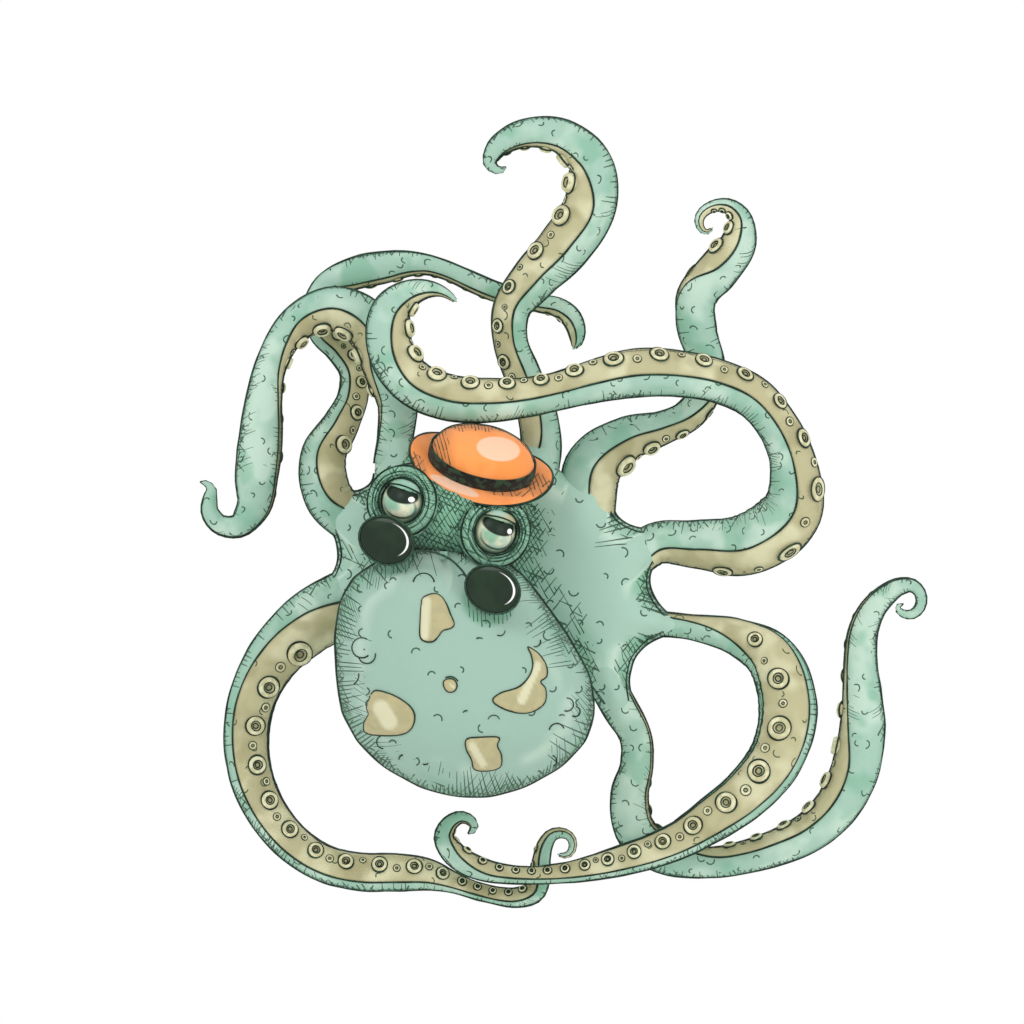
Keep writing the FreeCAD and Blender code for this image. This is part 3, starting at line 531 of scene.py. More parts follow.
def tube(name, path, radii, sides=6):
    """Round cord along a path, its radius given at each point."""
    path = np.asarray(path, float)
    travel = np.gradient(path, axis=0)
    travel /= np.linalg.norm(travel, axis=1)[:, None]
    up = np.array((0.0, 1.0, 0.0)) if abs(travel[0][1]) < 0.9 else np.array((1.0, 0.0, 0.0))
    rings = []
    for p, t, r in zip(path, travel, radii):
        side = np.cross(up, t)
        side /= np.linalg.norm(side)
        up = np.cross(t, side)
        rings.append(circle(p, side, up, r, r, sides))
    return ring_mesh(name, rings)


def uneven(length, thick, thin, seed):
    """Radii of a cord that swells and thins along its run, as hand-pulled piping does."""
    return [thin + (thick - thin) * (0.5 + 0.5 * noise.noise(Vector((s * 28, seed, 0.5)))) for s in length]


BACK_STEPS, UNDER_STEPS = 26, 14
sleeves = {}
skins = {}
for body in arms:
    sleeve = Sleeve(body)
    sleeves[body] = sleeve
    for part, first, last, count, cloth, slot in (("back", SEAM, 360 - SEAM, BACK_STEPS, green_cloth, "green_cloth"),
                                                  ("underside", -SEAM, SEAM, UNDER_STEPS, tan_cloth, "tan_cloth")):
        rings, flat, turned = [], [], []
        for k in range(len(sleeve.at)):
            lean = math.degrees(sleeve.lean[k])
            angles = [lean + first + (last - first) * j / (count - 1) for j in range(count)]
            rings.append([sleeve.point(k, a) for a in angles])
            flat += [(sleeve.at[k], math.radians(a) * sleeve.radius[k]) for a in angles]
            turned += [(sleeve.at[k], a / 360 + 2) for a in angles]
        mesh = ring_mesh(body + "_" + part + "_cloth", rings, (("cloth", flat), ("turn", turned)))
        obj = link(mesh.name, mesh, [cloth])
        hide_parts(body + "_" + part)
        skins[body, part] = obj
    # a cord in each seam, and one along each side of the arm, where the front and back panels meet
    leans = [math.degrees(lean) for lean in sleeve.lean]
    loose = [[middle + 16 * noise.noise(Vector((at * 9, seed, other))) for at in sleeve.at]
             for middle, seed, other in ((14, 3.1, 0.2), (166, 7.7, 0.4))]
    for label, angles, thick, thin in (("seam_left", [lean - SEAM for lean in leans], 0.0029, 0.0015),
                                       ("seam_right", [lean + SEAM for lean in leans], 0.0029, 0.0015),
                                       ("side_left", [0.0] * len(leans), 0.0044, 0.0022),
                                       ("side_right", [180.0] * len(leans), 0.0044, 0.0022),
                                       ("loose_left", loose[0], 0.0012, 0.0005),
                                       ("loose_right", loose[1], 0.0012, 0.0005)):
        path = [sleeve.point(k, angles[k], -0.0004) for k in range(0, len(sleeve.at), 2)]
        fade = np.clip(sleeve.radius[::2] / 0.014, 0.5, 1.0)
        radii = np.array(uneven(sleeve.at[::2], thick, thin, 1.7 * len(label))) * fade
        cord = link(body + "_" + label, tube(body + "_" + label, path, radii), [piping])
        skins[body, label] = cord


# ---- Suckers: stuffed cups of tan cloth, each ringed with cord and sewn down the middle of the underside ----

def islands(mesh):
    """Corners of each separate solid of a mesh, without their doubles."""
    number, places = {}, []
    own = []
    for vertex in mesh.vertices:
        key = tuple(round(c, 5) for c in vertex.co)
        if key not in number:
            number[key] = len(places)
            places.append(tuple(vertex.co))
        own.append(number[key])
    group = list(range(len(places)))

    def root(k):
        while group[k] != k:
            k = group[k]
        return k

    for edge in mesh.edges:
        a, b = (root(own[k]) for k in edge.vertices)
        group[a] = b
    found = {}
    for k in range(len(places)):
        found.setdefault(root(k), []).append(places[k])
    return [np.array(found[k]) for k in sorted(found)]


def surface_of(*objs):
    """Search tree over the faces of these objects at rest."""
    points, faces = [], []
    for obj in objs:
        start = len(points)
        points += [v.co.copy() for v in obj.data.vertices]
        faces += [tuple(start + k for k in p.vertices) for p in obj.data.polygons]
    return BVHTree.FromPolygons(points, faces)


def turned(profile, centre, axis, side, sides):
    """Rings of a shape turned about an axis: profile is (radius, height) rows, in metres."""
    front = np.cross(axis, side)
    return [circle(centre + axis * h, side, front, r, r, sides) for r, h in profile]


def joined(name, meshes):
    """One mesh of several."""
    made = bmesh.new()
    for mesh in meshes:
        made.from_mesh(mesh)
        bpy.data.meshes.remove(mesh)
    whole = bpy.data.meshes.new(name)
    made.to_mesh(whole)
    made.free()
    return whole


# Sucker cloth: the palest of the tans, brushed so that it looks soft, with painted shade darkening its bowl
sucker_cloth, tree = new_material("brushed_sucker_cloth")
bowl = layout_of(tree, "bowl")[0]
place = place_of(tree)
colour = blended(tree, cloudy(tree, place, 60, 0.42, 0.62), linear("#c6c198"), linear("#e0deb9"))
# Painted shade: darker in the hollow middle of the cup
colour = blended(tree, falling(tree, bowl, 0.30, 0.62, 0.7), colour, linear("#8d8760"))
finish_cloth(tree, colour, grain(tree, place, 900.0), roughness=0.85, bump=0.4, sheen=0.2)

CUP = [(0.96, -0.5), (1.04, 0.1), (1.03, 0.55), (0.90, 0.95), (0.74, 1.0), (0.58, 0.80), (0.40, 0.45), (0.18, 0.30),
       (0.02, 0.28)]
CUP_SIDES = 20
bowl_layout = [(r, 0.0) for r, h in CUP for _ in range(CUP_SIDES)]
LOOP = np.linspace(0, 2 * math.pi, 25)
for body in arms:
    skin = surface_of(skins[body, "underside"])
    cups, rings, seats = [], [], []
    for count, corners in enumerate(islands(nodes[body + "_suckers"].data)):
        middle = corners.mean(axis=0)
        lower = corners[np.argsort(np.linalg.norm(corners - middle, axis=1))[len(corners) // 2:]]
        upper = corners[np.argsort(np.linalg.norm(corners - middle, axis=1))[:len(corners) // 2]]
        axis = upper.mean(axis=0) - lower.mean(axis=0)
        tall = float(np.linalg.norm(axis))
        axis /= tall
        foot = float(np.linalg.norm(lower - lower.mean(axis=0), axis=1).mean()) * 0.92
        start = lower.mean(axis=0)
        hit = skin.ray_cast(Vector(start + axis * 0.03), Vector(-axis), 0.06)
        base = np.array(hit[0]) if hit[0] is not None else start
        tall = max(0.0035, tall - float(np.dot(base - start, axis)))
        side = np.cross(axis, lower[0] - start)
        side /= np.linalg.norm(side)
        profile = [(r * foot, h * tall) for r, h in CUP]
        seats.append((base, axis, foot))
        cups.append(ring_mesh("cup", turned(profile, base, axis, side, CUP_SIDES), (("bowl", bowl_layout),)))
        front = np.cross(axis, side)
        for reach, lift, thick in ((1.10, 0.12, 0.0019), (0.55, 0.78, 0.0014), (0.30, 0.42, 0.0012)):
            wobble = [reach * (1 + 0.05 * math.sin(2 * t + count * 1.9 + reach * 7)) for t in LOOP]
            loop = [base + axis * (lift * tall) + (side * math.cos(t) + front * math.sin(t)) * (foot * w)
                    for t, w in zip(LOOP, wobble)]
            rings.append(tube("ring", loop, uneven(np.arange(len(LOOP)) * 0.005, thick * 1.3, thick * 0.7, count)))
    # small buttons of the same cloth lie between the cups, to one side or the other
    sleeve = sleeves[body]
    for count in range(len(cups) - 1):
        a, b = seats[count], seats[count + 1]
        if np.linalg.norm(b[0] - a[0]) < 0.045:
            continue
        sway = (0.45 if count % 2 else -0.40) * a[2]
        out = a[1] + b[1]
        out /= np.linalg.norm(out)
        along = b[0] - a[0]
        across = np.cross(out, along / np.linalg.norm(along))
        aim = (a[0] + b[0]) / 2 + across * sway
        hit = skin.ray_cast(Vector(aim + out * 0.04), Vector(-out), 0.08)
        if hit[0] is None:
            continue
        foot = a[2] * (0.42 + 0.12 * noise.noise(Vector((count * 3.7, len(body), 0.5))))
        base, out = np.array(hit[0]), np.array(hit[1])
        across = np.cross(out, along)
        across /= np.linalg.norm(across)
        front = np.cross(out, across)
        tall = foot * 0.30
        profile = [(r * foot, h * tall) for r, h in CUP]
        cups.append(ring_mesh("cup", turned(profile, base, out, across, CUP_SIDES), (("bowl", bowl_layout),)))
        for reach, lift, thick in ((1.08, 0.15, 0.0013), (0.40, 0.60, 0.0010)):
            loop = [base + out * (lift * tall) + (across * math.cos(t) + front * math.sin(t)) * (foot * reach)
                    for t in LOOP]
            rings.append(tube("ring", loop, uneven(np.arange(len(LOOP)) * 0.005, thick * 1.3, thick * 0.7, count)))
    cup = link(body + "_sucker_cups", joined(body + "_sucker_cups", cups), [sucker_cloth])
    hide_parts(body + "_suckers")
    skins[body, "sucker_cups"] = cup
    skins[body, "sucker_rings"] = link(body + "_sucker_rings", joined(body + "_sucker_rings", rings), [piping])

# ---- Crown: the web of cloth that joins the arms, drawn smoothly over the hub and the arms' roots ----

def baked(obj):
    """The object's mesh with its modifiers made final."""
    depsgraph = bpy.context.evaluated_depsgraph_get()
    mesh = bpy.data.meshes.new_from_object(obj.evaluated_get(depsgraph))
    mesh.name = obj.name
    obj.modifiers.clear()
    old = obj.data
    obj.data = mesh
    bpy.data.meshes.remove(old)
    return obj


def remeshed(obj, voxel, smoothing=0):
    skin = obj.modifiers.new("even", "REMESH")
    skin.mode = "VOXEL"
    skin.voxel_size = voxel
    skin.use_smooth_shade = True
    if smoothing:
        soften = obj.modifiers.new("soft", "SMOOTH")
        soften.factor = 0.5
        soften.iterations = smoothing
    return baked(obj)


def vertex_array(mesh):
    co = np.empty(len(mesh.vertices) * 3)
    mesh.vertices.foreach_get("co", co)
    return co.reshape(-1, 3)


def set_vertices(mesh, co):
    mesh.vertices.foreach_set("co", np.asarray(co, float).ravel())
    mesh.update()


def outline_segments(mesh, normal):
    """Edges round the flat face of a solid that looks along normal, as pairs of places."""
    uses = {}
    for face in mesh.polygons:
        if face.normal.dot(normal) > 0.9:
            keys = [tuple(round(c, 5) for c in mesh.vertices[k].co) for k in face.vertices]
            for a, b in zip(keys, keys[1:] + keys[:1]):
                uses[frozenset((a, b))] = uses.get(frozenset((a, b)), 0) + 1
    return np.array([sorted(pair) for pair, count in uses.items() if count == 1 and len(pair) == 2])


def distance_to(segments, points):
    """Distance in front view of each point to the nearest of the segments."""
    p = points[:, None, [0, 2]]
    a, b = segments[None, :, 0][:, :, [0, 2]], segments[None, :, 1][:, :, [0, 2]]
    run = b - a
    t = np.clip(((p - a) * run).sum(-1) / np.maximum((run * run).sum(-1), 1e-12), 0, 1)
    return np.linalg.norm(p - (a + t[..., None] * run), axis=-1).min(axis=1)


front_y, back_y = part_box("web_front")[0][1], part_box("web_back")[1][1]
inner_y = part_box("web_front")[1][1]
middle_y = (front_y + back_y) / 2
outline = outline_segments(nodes["web_front"].data, Vector((0, -1, 0)))
made = bmesh.new()
made.from_mesh(nodes["web_front"].data)
bmesh.ops.remove_doubles(made, verts=made.verts, dist=1e-5)
for vertex in made.verts:
    if abs(vertex.co.y - inner_y) < 1e-4:
        vertex.co.y = back_y
mesh = bpy.data.meshes.new("crown_cloth")
made.to_mesh(mesh)
made.free()
crown = link("crown_cloth", mesh, [], smooth=False)
remeshed(crown, 0.008)
co = vertex_array(crown.data)
ROUND = 0.085                       # distance in from the edge over which the web swells to its full depth
swell = np.sqrt(1 - (1 - np.clip(distance_to(outline, co) / ROUND, 0.0, 1)) ** 2)
co[:, 1] = middle_y + (co[:, 1] - middle_y) * np.maximum(swell, 0.10)
set_vertices(crown.data, co)
ROOT_LENGTH = 0.105                 # how far the crown's cloth runs out over an arm
ROOT_FADE = 0.14                    # distance over which it draws in
roots = []
for body in arms:
    sleeve = sleeves[body]
    first_travel, first_left = sleeve.travel[0], sleeve.left[0]
    start = np.array(pins[body]) - first_travel * 0.03
    rings = []
    stops = [k for k in range(len(sleeve.at)) if sleeve.at[k] < ROOT_LENGTH]
    stations = [(start, first_travel, first_left, sleeve.radius[0] * 0.9, 0.0)]
    stations += [(sleeve.centre[k], sleeve.travel[k], sleeve.left[k], sleeve.radius[k], 0.058 + sleeve.at[k])
                 for k in stops[::2]]
    for centre, travel, left, radius, run in stations:
        out = min(run / ROOT_FADE, 1.0)
        scale = 1.06 - 0.20 * out
        deep = max(ARM_DEPTH * radius * scale, 0.0355 * (1.0 - 0.45 * out))
        rings.append([centre + left * (radius * scale * math.cos(t)) - np.array((0, deep * math.sin(t), 0))
                      for t in np.linspace(0, 2 * math.pi, 28, endpoint=False)])
    roots.append(ring_mesh("root", rings))
whole = joined("crown_cloth", [crown.data.copy()] + roots)
old = crown.data
crown.data = whole
bpy.data.meshes.remove(old)
remeshed(crown, 0.006, 14)
crown.name = "crown_cloth"

# The back of the web is open round the foot of the tow lug
LUG_OPENING = 0.030                 # half its side
made = bmesh.new()
made.from_mesh(crown.data)
centres = [(f, f.calc_center_median()) for f in made.faces]
cut = [f for f, c in centres if abs(c.x) < LUG_OPENING and abs(c.z) < LUG_OPENING and c.y > middle_y]
bmesh.ops.delete(made, geom=cut, context="FACES")
made.to_mesh(crown.data)
made.free()


def edge_layout(obj, segments, calm=0.0):
    """Layout of a broad piece: u is metres round its outline and v metres in from it, plus calm."""
    co = vertex_array(obj.data)
    middle = co.mean(axis=0)
    around = np.arctan2(co[:, 2] - middle[2], co[:, 0] - middle[0])
    inward = distance_to(segments, co) + calm
    lay_out(obj.data, "edge", np.stack([around * 0.25, inward], 1))


# Painted shade gathers only in the hollows between two arms, not across an arm
hollows = []
for pair in outline:
    middle = Vector(pair.mean(axis=0))
    if all(min(math.hypot(middle.x - c[0], middle.z - c[2]) for c in sleeves[b].centre[:40:4]) > 0.012 for b in arms):
        hollows.append(pair)
hollows = np.array(hollows)
# where the crown runs out over the root of an arm its cloth is as plain as the arm's, without the hollows' painted
# shade
places = vertex_array(crown.data)
on_root = np.zeros(len(places))
for body in arms:
    sleeve = sleeves[body]
    off = np.hypot(places[:, 0:1] - sleeve.centre[None, :30, 0], places[:, 2:3] - sleeve.centre[None, :30, 2])
    share = np.clip((0.95 - off / sleeve.radius[None, :30]) / 0.35, 0, 1).max(axis=1)
    on_root = np.maximum(on_root, share)
edge_layout(crown, hollows, 0.060 * on_root)


def chained(pairs):
    """The longest closed line of an outline, in order, from its unordered edges."""
    links = {}
    for a, b in pairs:
        a, b = (tuple(round(float(c), 5) for c in p) for p in (a, b))
        links.setdefault(a, []).append(b)
        links.setdefault(b, []).append(a)
    best = []
    while links:
        here = next(iter(links))
        line = []
        while here is not None:
            line.append(here)
            ahead = [k for k in links.pop(here) if k in links]
            here = ahead[0] if ahead else None
        if len(line) > len(best):
            best = line
    return np.array(best)


# Piping round the free edge of the crown, from one arm to the next: a main cord and a thinner loose one
border = chained(outline)
steps = np.concatenate([[0], np.cumsum(np.linalg.norm(np.roll(border, -1, axis=0) - border, axis=1))])
BORDER_STEP = 0.006
at = np.arange(0, steps[-1], BORDER_STEP)
closed = np.concatenate([border, border[:1]])
border = np.stack([np.interp(at, steps, closed[:, k]) for k in range(3)], 1)
travel = np.roll(border, -2, axis=0) - np.roll(border, 2, axis=0)
outward = np.stack([travel[:, 2], np.zeros(len(at)), -travel[:, 0]], 1)
outward /= np.linalg.norm(outward, axis=1)[:, None]
if (outward * (border - border.mean(axis=0))).sum() < 0:
    outward = -outward
crown_skin = surface_of(crown)
free = []
for p in border:
    inside = any(np.min(np.hypot(sleeves[b].centre[:50, 0] - p[0], sleeves[b].centre[:50, 2] - p[2])
                        / sleeves[b].radius[:50]) < 0.80 for b in arms)
    free.append(not inside)
first = next(k for k in range(len(free)) if free[k] and not free[k - 1])
runs, before = [], False
for k in [(first + j) % len(free) for j in range(len(free))]:
    if free[k]:
        if not before:
            runs.append([])
        hit = crown_skin.ray_cast(Vector((border[k][0], middle_y, border[k][2])) + Vector(outward[k]) * 0.09,
                                  Vector(-outward[k]), 0.16)
        if hit[0] is not None:
            runs[-1].append((np.array(hit[0]), outward[k]))
    before = free[k]
cords = []
for count, run in enumerate(r for r in runs if len(r) > 5):
    line = np.array([p for p, n in run])
    for _ in range(2):
        line[1:-1] = (line[:-2] + 2 * line[1:-1] + line[2:]) / 4
    cords.append(tube("cord", line, uneven(np.arange(len(line)) * BORDER_STEP, 0.0044, 0.0022, count * 1.7)))
    for depth, thick, seed in ((0.006, 0.0016, 3.0), (0.011, 0.0012, 9.0)):
        path = []
        for k, (p, n) in enumerate(run):
            q = line[k] - n * depth * (1 + 0.9 * noise.noise(Vector((k * 0.13, seed, count * 2.0))))
            near = crown_skin.find_nearest(Vector(q) + Vector((0, -0.02, 0)))
            path.append(tuple(near[0] + near[1] * 0.0004))
        radii = uneven(np.arange(len(path)) * BORDER_STEP, thick, 0.0005, seed + count)
        cords.append(tube("cord", path, radii))
edging = link("crown_piping", joined("crown_piping", cords), [piping])
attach(edging, "crown")


# Crossed pen strokes: degrees, metres between two, metres along one, and how many of them are drawn
CROSSED = ((28, 0.0075, 0.045, 1.0), (-38, 0.0085, 0.038, 0.75), (66, 0.0095, 0.030, 0.5))


def broad_cloth(name, pale, body, deep, ink, reach, pitch, clump_low, tick_share, edge_shade_reach, rim_band=0.04,
                crossing=None, painted_ovals=()):
    """Dyed cloth of a broad bag, with painted light: u of its layout runs round the outline and v in from it. A band
    of painted highlight lies a little in from the outline, and painted shade with strokes near it. Crossing gives the
    share of it under painted shade, deeper and crossed with pen strokes, from its tree and that distance;
    painted_ovals are ovals of its tones in it, pale ones painted highlight and deep ones painted shade."""
    material, tree = new_material(name)
    around, inward = layout_of(tree, "edge")
    place = place_of(tree)
    xyz = add(tree, "ShaderNodeSeparateXYZ", {0: place})
    # Painted highlight: a pale band a little in from the outline, in patches
    past = add(tree, "ShaderNodeMapRange", {"Value": inward, "From Min": rim_band * 0.5, "From Max": rim_band},
               interpolation_type="SMOOTHSTEP").outputs[0]
    short = add(tree, "ShaderNodeMapRange", {"Value": inward, "From Min": rim_band * 1.5, "From Max": rim_band,
                                             "To Min": 0.0, "To Max": 1.0}).outputs[0]
    near_rim = calc(tree, "MULTIPLY", past, short)
    rim_highlight = calc(tree, "MULTIPLY", near_rim, cloudy(tree, place, 6, 0.44, 0.54))
    colour = blended(tree, rim_highlight, linear(body), linear(pale))
    # Painted shade: deeper green in patches near the outline
    pools = calc(tree, "MULTIPLY", cloudy(tree, place, 9, 0.46, 0.60), falling(tree, inward, 0.0, edge_shade_reach, 0.85))
    colour = blended(tree, pools, colour, linear(deep))
    # Inked strokes of painted shade run in from the outline
    clumps = cloudy(tree, place, 8, clump_low, clump_low + 0.2, 1.0)
    inked = strokes(tree, around, inward, reach, pitch, clumps)
    dense = cloudy(tree, place, 11, clump_low + 0.10, clump_low + 0.22, 1.0)
    crossed = calc(tree, "MULTIPLY_ADD", inward, -1.1, around)
    inked = calc(tree, "MAXIMUM", inked, strokes(tree, crossed, inward, reach * 0.8, pitch * 0.8, dense))
    inked = calc(tree, "MAXIMUM", inked, pen_arcs(tree, xyz.outputs[2], xyz.outputs[0], 0.046, tick_share))
    # Painted shade where crossing asks for it: deeper green under crossed pen strokes
    if crossing:
        share = crossing(tree, inward)
        colour = blended(tree, calc(tree, "MULTIPLY", share, 0.8), colour, linear(deep))
        for degrees, close, run, part in CROSSED:
            drawn = calc(tree, "MULTIPLY", share, part)
            inked = calc(tree, "MAXIMUM", inked, hatch(tree, place, degrees, close, run, drawn))
    tones = {"pale": pale, "body": body, "deep": deep}
    # Painted ovals: pale ones are painted highlight, deep ones painted shade with strokes
    for kind, middle, half in painted_ovals:
        inside = leaning_oval(tree, place, middle, half, 0, 0.04 if kind == "pale" else 0.12)
        colour = blended(tree, calc(tree, "MULTIPLY", inside, 0.85), colour, linear(tones[kind]))
        if kind == "deep":
            drawn = calc(tree, "MULTIPLY", inside, 0.8)
            inked = calc(tree, "MAXIMUM", inked, hatch(tree, place, 4, 0.008, 0.030, drawn))
    colour = blended(tree, calc(tree, "MULTIPLY", inked, INK_SHARE), colour, linear(ink))
    finish_cloth(tree, colour, ripstop(tree, xyz.outputs[0], xyz.outputs[2]))
    return material


def crown_painted_shade(tree, inward):
    """Share of painted shade, deeper green under crossed strokes, where the crown dips between two arms, and beside
    the mantle and the head.
    """
    beside = layout_of(tree, "beside")[0]
    share = calc(tree, "MAXIMUM", falling(tree, inward, 0.006, 0.048, 0.85),
                 falling(tree, beside, 0.012, 0.062, 0.9))
    patchy = calc(tree, "MULTIPLY_ADD", cloudy(tree, place_of(tree), 9, 0.38, 0.54), 0.65, 0.35)
    return calc(tree, "MULTIPLY", share, patchy)


# Crown cloth: the green ripstop again, with painted shade, deeper and more inked, where the web dips between two arms
# and beside the mantle and the head
crown_cloth = broad_cloth("crown_ripstop", "#c6decd", "#a9cab9", "#7fb598", "#1d4029", 0.085, 0.010, 0.40, 0.60, 0.05,
                          crossing=crown_painted_shade)
crown.data.materials.clear()
crown.data.materials.append(crown_cloth)
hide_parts("web_front", "web_back")
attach(crown, "crown")

# ---- Mantle and head: stuffed bags, drawn in at the seat and rounded by their filling ----

def stuffed(name, node, voxel, smoothing):
    """A swollen copy of a bag's solid."""
    obj = bpy.data.objects.new(name, nodes[node].data.copy())
    bpy.context.scene.collection.objects.link(obj)
    obj.data.materials.clear()
    remeshed(obj, voxel, smoothing)
    obj.name = name
    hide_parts(node)
    return obj


def silhouette(obj, steps=160):
    """Outline of a bag in front view, as a loop of places on its skin."""
    co = vertex_array(obj.data)
    middle = (co.min(axis=0) + co.max(axis=0)) / 2
    angle = np.arctan2(co[:, 2] - middle[2], co[:, 0] - middle[0])
    reach = np.hypot(co[:, 0] - middle[0], co[:, 2] - middle[2])
    loop = []
    for k in range(steps):
        a = -math.pi + 2 * math.pi * (k + 0.5) / steps
        near = np.abs((angle - a + math.pi) % (2 * math.pi) - math.pi) < 2.2 * math.pi / steps
        best = np.where(near)[0][np.argmax(reach[near])]
        loop.append(co[best])
    loop = np.array(loop)
    for _ in range(3):
        loop = (np.roll(loop, 1, axis=0) + 2 * loop + np.roll(loop, -1, axis=0)) / 4
    return loop


def edges_of(loop):
    """Edges of a closed line, as pairs of places."""
    return np.stack([loop, np.roll(loop, -1, axis=0)], 1)


SEAM_REACH, SEAM_DEPTH = 0.014, 0.030       # cloth this near to the seam is held while the bag fills
FILLING_FRAMES = 20


def blown_up(obj, seam, cap):
    """The bag pressed out by its filling and held at its seam; no point of it moves further than the cap."""
    before = vertex_array(obj.data)
    held = obj.vertex_groups.new(name="seam")
    off = distance_to(edges_of(seam), before)
    depth = np.abs(before[:, 1] - seam[:, 1].mean())
    held.add([int(k) for k in np.where((off < SEAM_REACH) & (depth < SEAM_DEPTH))[0]], 1.0, "REPLACE")
    cloth = obj.modifiers.new("filling", "CLOTH")
    cloth.settings.vertex_group_mass = "seam"
    cloth.settings.use_pressure = True
    cloth.settings.uniform_pressure_force = 4.0
    cloth.settings.effector_weights.gravity = 0.0
    cloth.settings.quality = 4
    cloth.settings.mass = 0.2
    cloth.settings.tension_stiffness = 12.0
    cloth.settings.compression_stiffness = 12.0
    cloth.settings.bending_stiffness = 0.3
    cloth.collision_settings.use_collision = False
    cloth.point_cache.frame_start = 1
    cloth.point_cache.frame_end = FILLING_FRAMES
    scene = bpy.context.scene
    for step in range(1, FILLING_FRAMES + 1):
        scene.frame_set(step)
    shown = obj.evaluated_get(bpy.context.evaluated_depsgraph_get())
    moved = vertex_array(shown.data) - before
    obj.modifiers.remove(cloth)
    obj.vertex_groups.remove(held)
    scene.frame_set(1)
    far = np.linalg.norm(moved, axis=1)[:, None]
    set_vertices(obj.data, before + moved * np.minimum(1.0, cap / np.maximum(far, 1e-9)))


mantle = stuffed("mantle_cloth", "mantle", 0.008, 18)
head = stuffed("head_cloth", "head", 0.007, 10)
for obj, cap in ((mantle, 0.006), (head, 0.003)):
    blown_up(obj, silhouette(obj), cap)
loops = [silhouette(mantle), silhouette(head)]
near = np.concatenate([edges_of(loop) for loop in loops])
# Distance to the outlines of the mantle and the head, for the crown's painted shade beside them
beside = distance_to(near, places) + np.where(places[:, 1] < middle_y, 0.0, 1.0) + 0.045 * on_root
lay_out(crown.data, "beside", np.stack([beside, beside], 1))
# Piping of a bag: a main cord on its outline and loose ones that stray in from it
BAG_CORDS = ((0.0, 0.0036, 0.0018, 0.0), (1.0, 0.0018, 0.0006, 0.009), (2.0, 0.0016, 0.0005, 0.013),
             (3.0, 0.0013, 0.0004, 0.018))
for obj, loop in zip((mantle, head), loops):
    edge_layout(obj, edges_of(loop))
    centre = loop.mean(axis=0)
    cords = []
    for turn, thick, thin, stray in BAG_CORDS:
        skin = surface_of(obj)
        placed = []
        for k, p in enumerate(np.concatenate([loop, loop[:2]])):
            drift = stray * noise.noise(Vector((math.cos(k * 2 * math.pi / len(loop)) * 2.2,
                                                math.sin(k * 2 * math.pi / len(loop)) * 2.2, turn * 5.3)))
            out = p - centre
            out[1] = 0
            q = p + out / np.linalg.norm(out) * (drift - 0.3 * stray)
            near = skin.find_nearest(Vector(q) + Vector((0, -0.004 - 0.4 * stray, 0)))
            placed.append(np.array(near[0] + near[1] * 0.0004) if stray else p)
        cords.append(tube("piping", placed, uneven(np.arange(len(placed)) * 0.009, thick, thin, 2.5 + turn)))
    cord = link(obj.name.replace("cloth", "piping"), joined("piping", cords), [piping])
    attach(cord, "crown")
    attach(obj, "crown")
lens_left, lens_right = (sum(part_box("lens_" + side), Vector()) / 2 for side in ("left", "right"))
# Mantle cloth: the plainest green, with painted highlight pale along the foot and in a crescent, painted shade
# near the outline and under each lens, and strokes only in that painted shade
MANTLE_PAINTED_LIGHT = [("pale", (-0.147, 0.012), (0.054, 0.060)), ("body", (-0.152, -0.018), (0.052, 0.052)),
                 ("deep", (lens_left.x + 0.004, lens_left.z - 0.024), (0.056, 0.046)),
                 ("deep", (lens_right.x - 0.008, lens_right.z - 0.024), (0.052, 0.048))]
mantle_cloth = broad_cloth("mantle_ripstop", "#b2cbbb", "#9bbaab", "#74a78b", "#1d4029", 0.075, 0.009, 0.36, 0.42,
                           0.040, 0.050, crossing=lambda tree, inward: falling(tree, inward, 0.002, 0.020, 0.75),
                           painted_ovals=MANTLE_PAINTED_LIGHT)
mantle.data.materials.append(mantle_cloth)
# Head cloth: the same green made darker as painted shade, under close cross strokes, so that it reads darker between
# the eyes
head_cloth = broad_cloth("head_ripstop", "#a9cab9", "#8fbaa2", "#6fa587", "#173322", 0.05, 0.0075, 0.30, 0.3, 0.12,
                         crossing=lambda tree, inward: 0.92)
head.data.materials.append(head_cloth)


def filled(outline, spacing):
    """Flat points and triangles that fill a closed outline, outline points first."""
    outline = [Vector(p) for p in outline]
    low = [min(p[k] for p in outline) for k in (0, 1)]
    high = [max(p[k] for p in outline) for k in (0, 1)]
    inner = []
    for i in range(1, int((high[0] - low[0]) / spacing) + 1):
        for j in range(1, int((high[1] - low[1]) / spacing) + 1):
            p = Vector((low[0] + i * spacing, low[1] + j * spacing))
            near = min((q - p).length for q in outline)
            if near > spacing * 0.55:
                inner.append(p)
    count = len(outline)
    edges = [(k, (k + 1) % count) for k in range(count)]
    points, _, faces, _, _, _ = delaunay_2d_cdt(outline + inner, edges, [], 1, 1e-6)
    return points, faces


# Patches: tan appliqués sewn on the mantle, each lightly stuffed, with a pale panel of painted highlight and a corded
# edge
patch_cloth, tree = new_material("tan_felt_patch")
place = place_of(tree)
light = layout_of(tree, "light")[0]
colour = blended(tree, cloudy(tree, place, 40, 0.42, 0.60), linear("#b8af86"), linear("#b0a982"))
# Painted highlight: a paler tan along a line across each patch
colour = blended(tree, light, colour, linear("#d4d1b0"))
finish_cloth(tree, colour, grain(tree, place, 800.0, 3.0), roughness=0.9, bump=0.4, sheen=0.2)

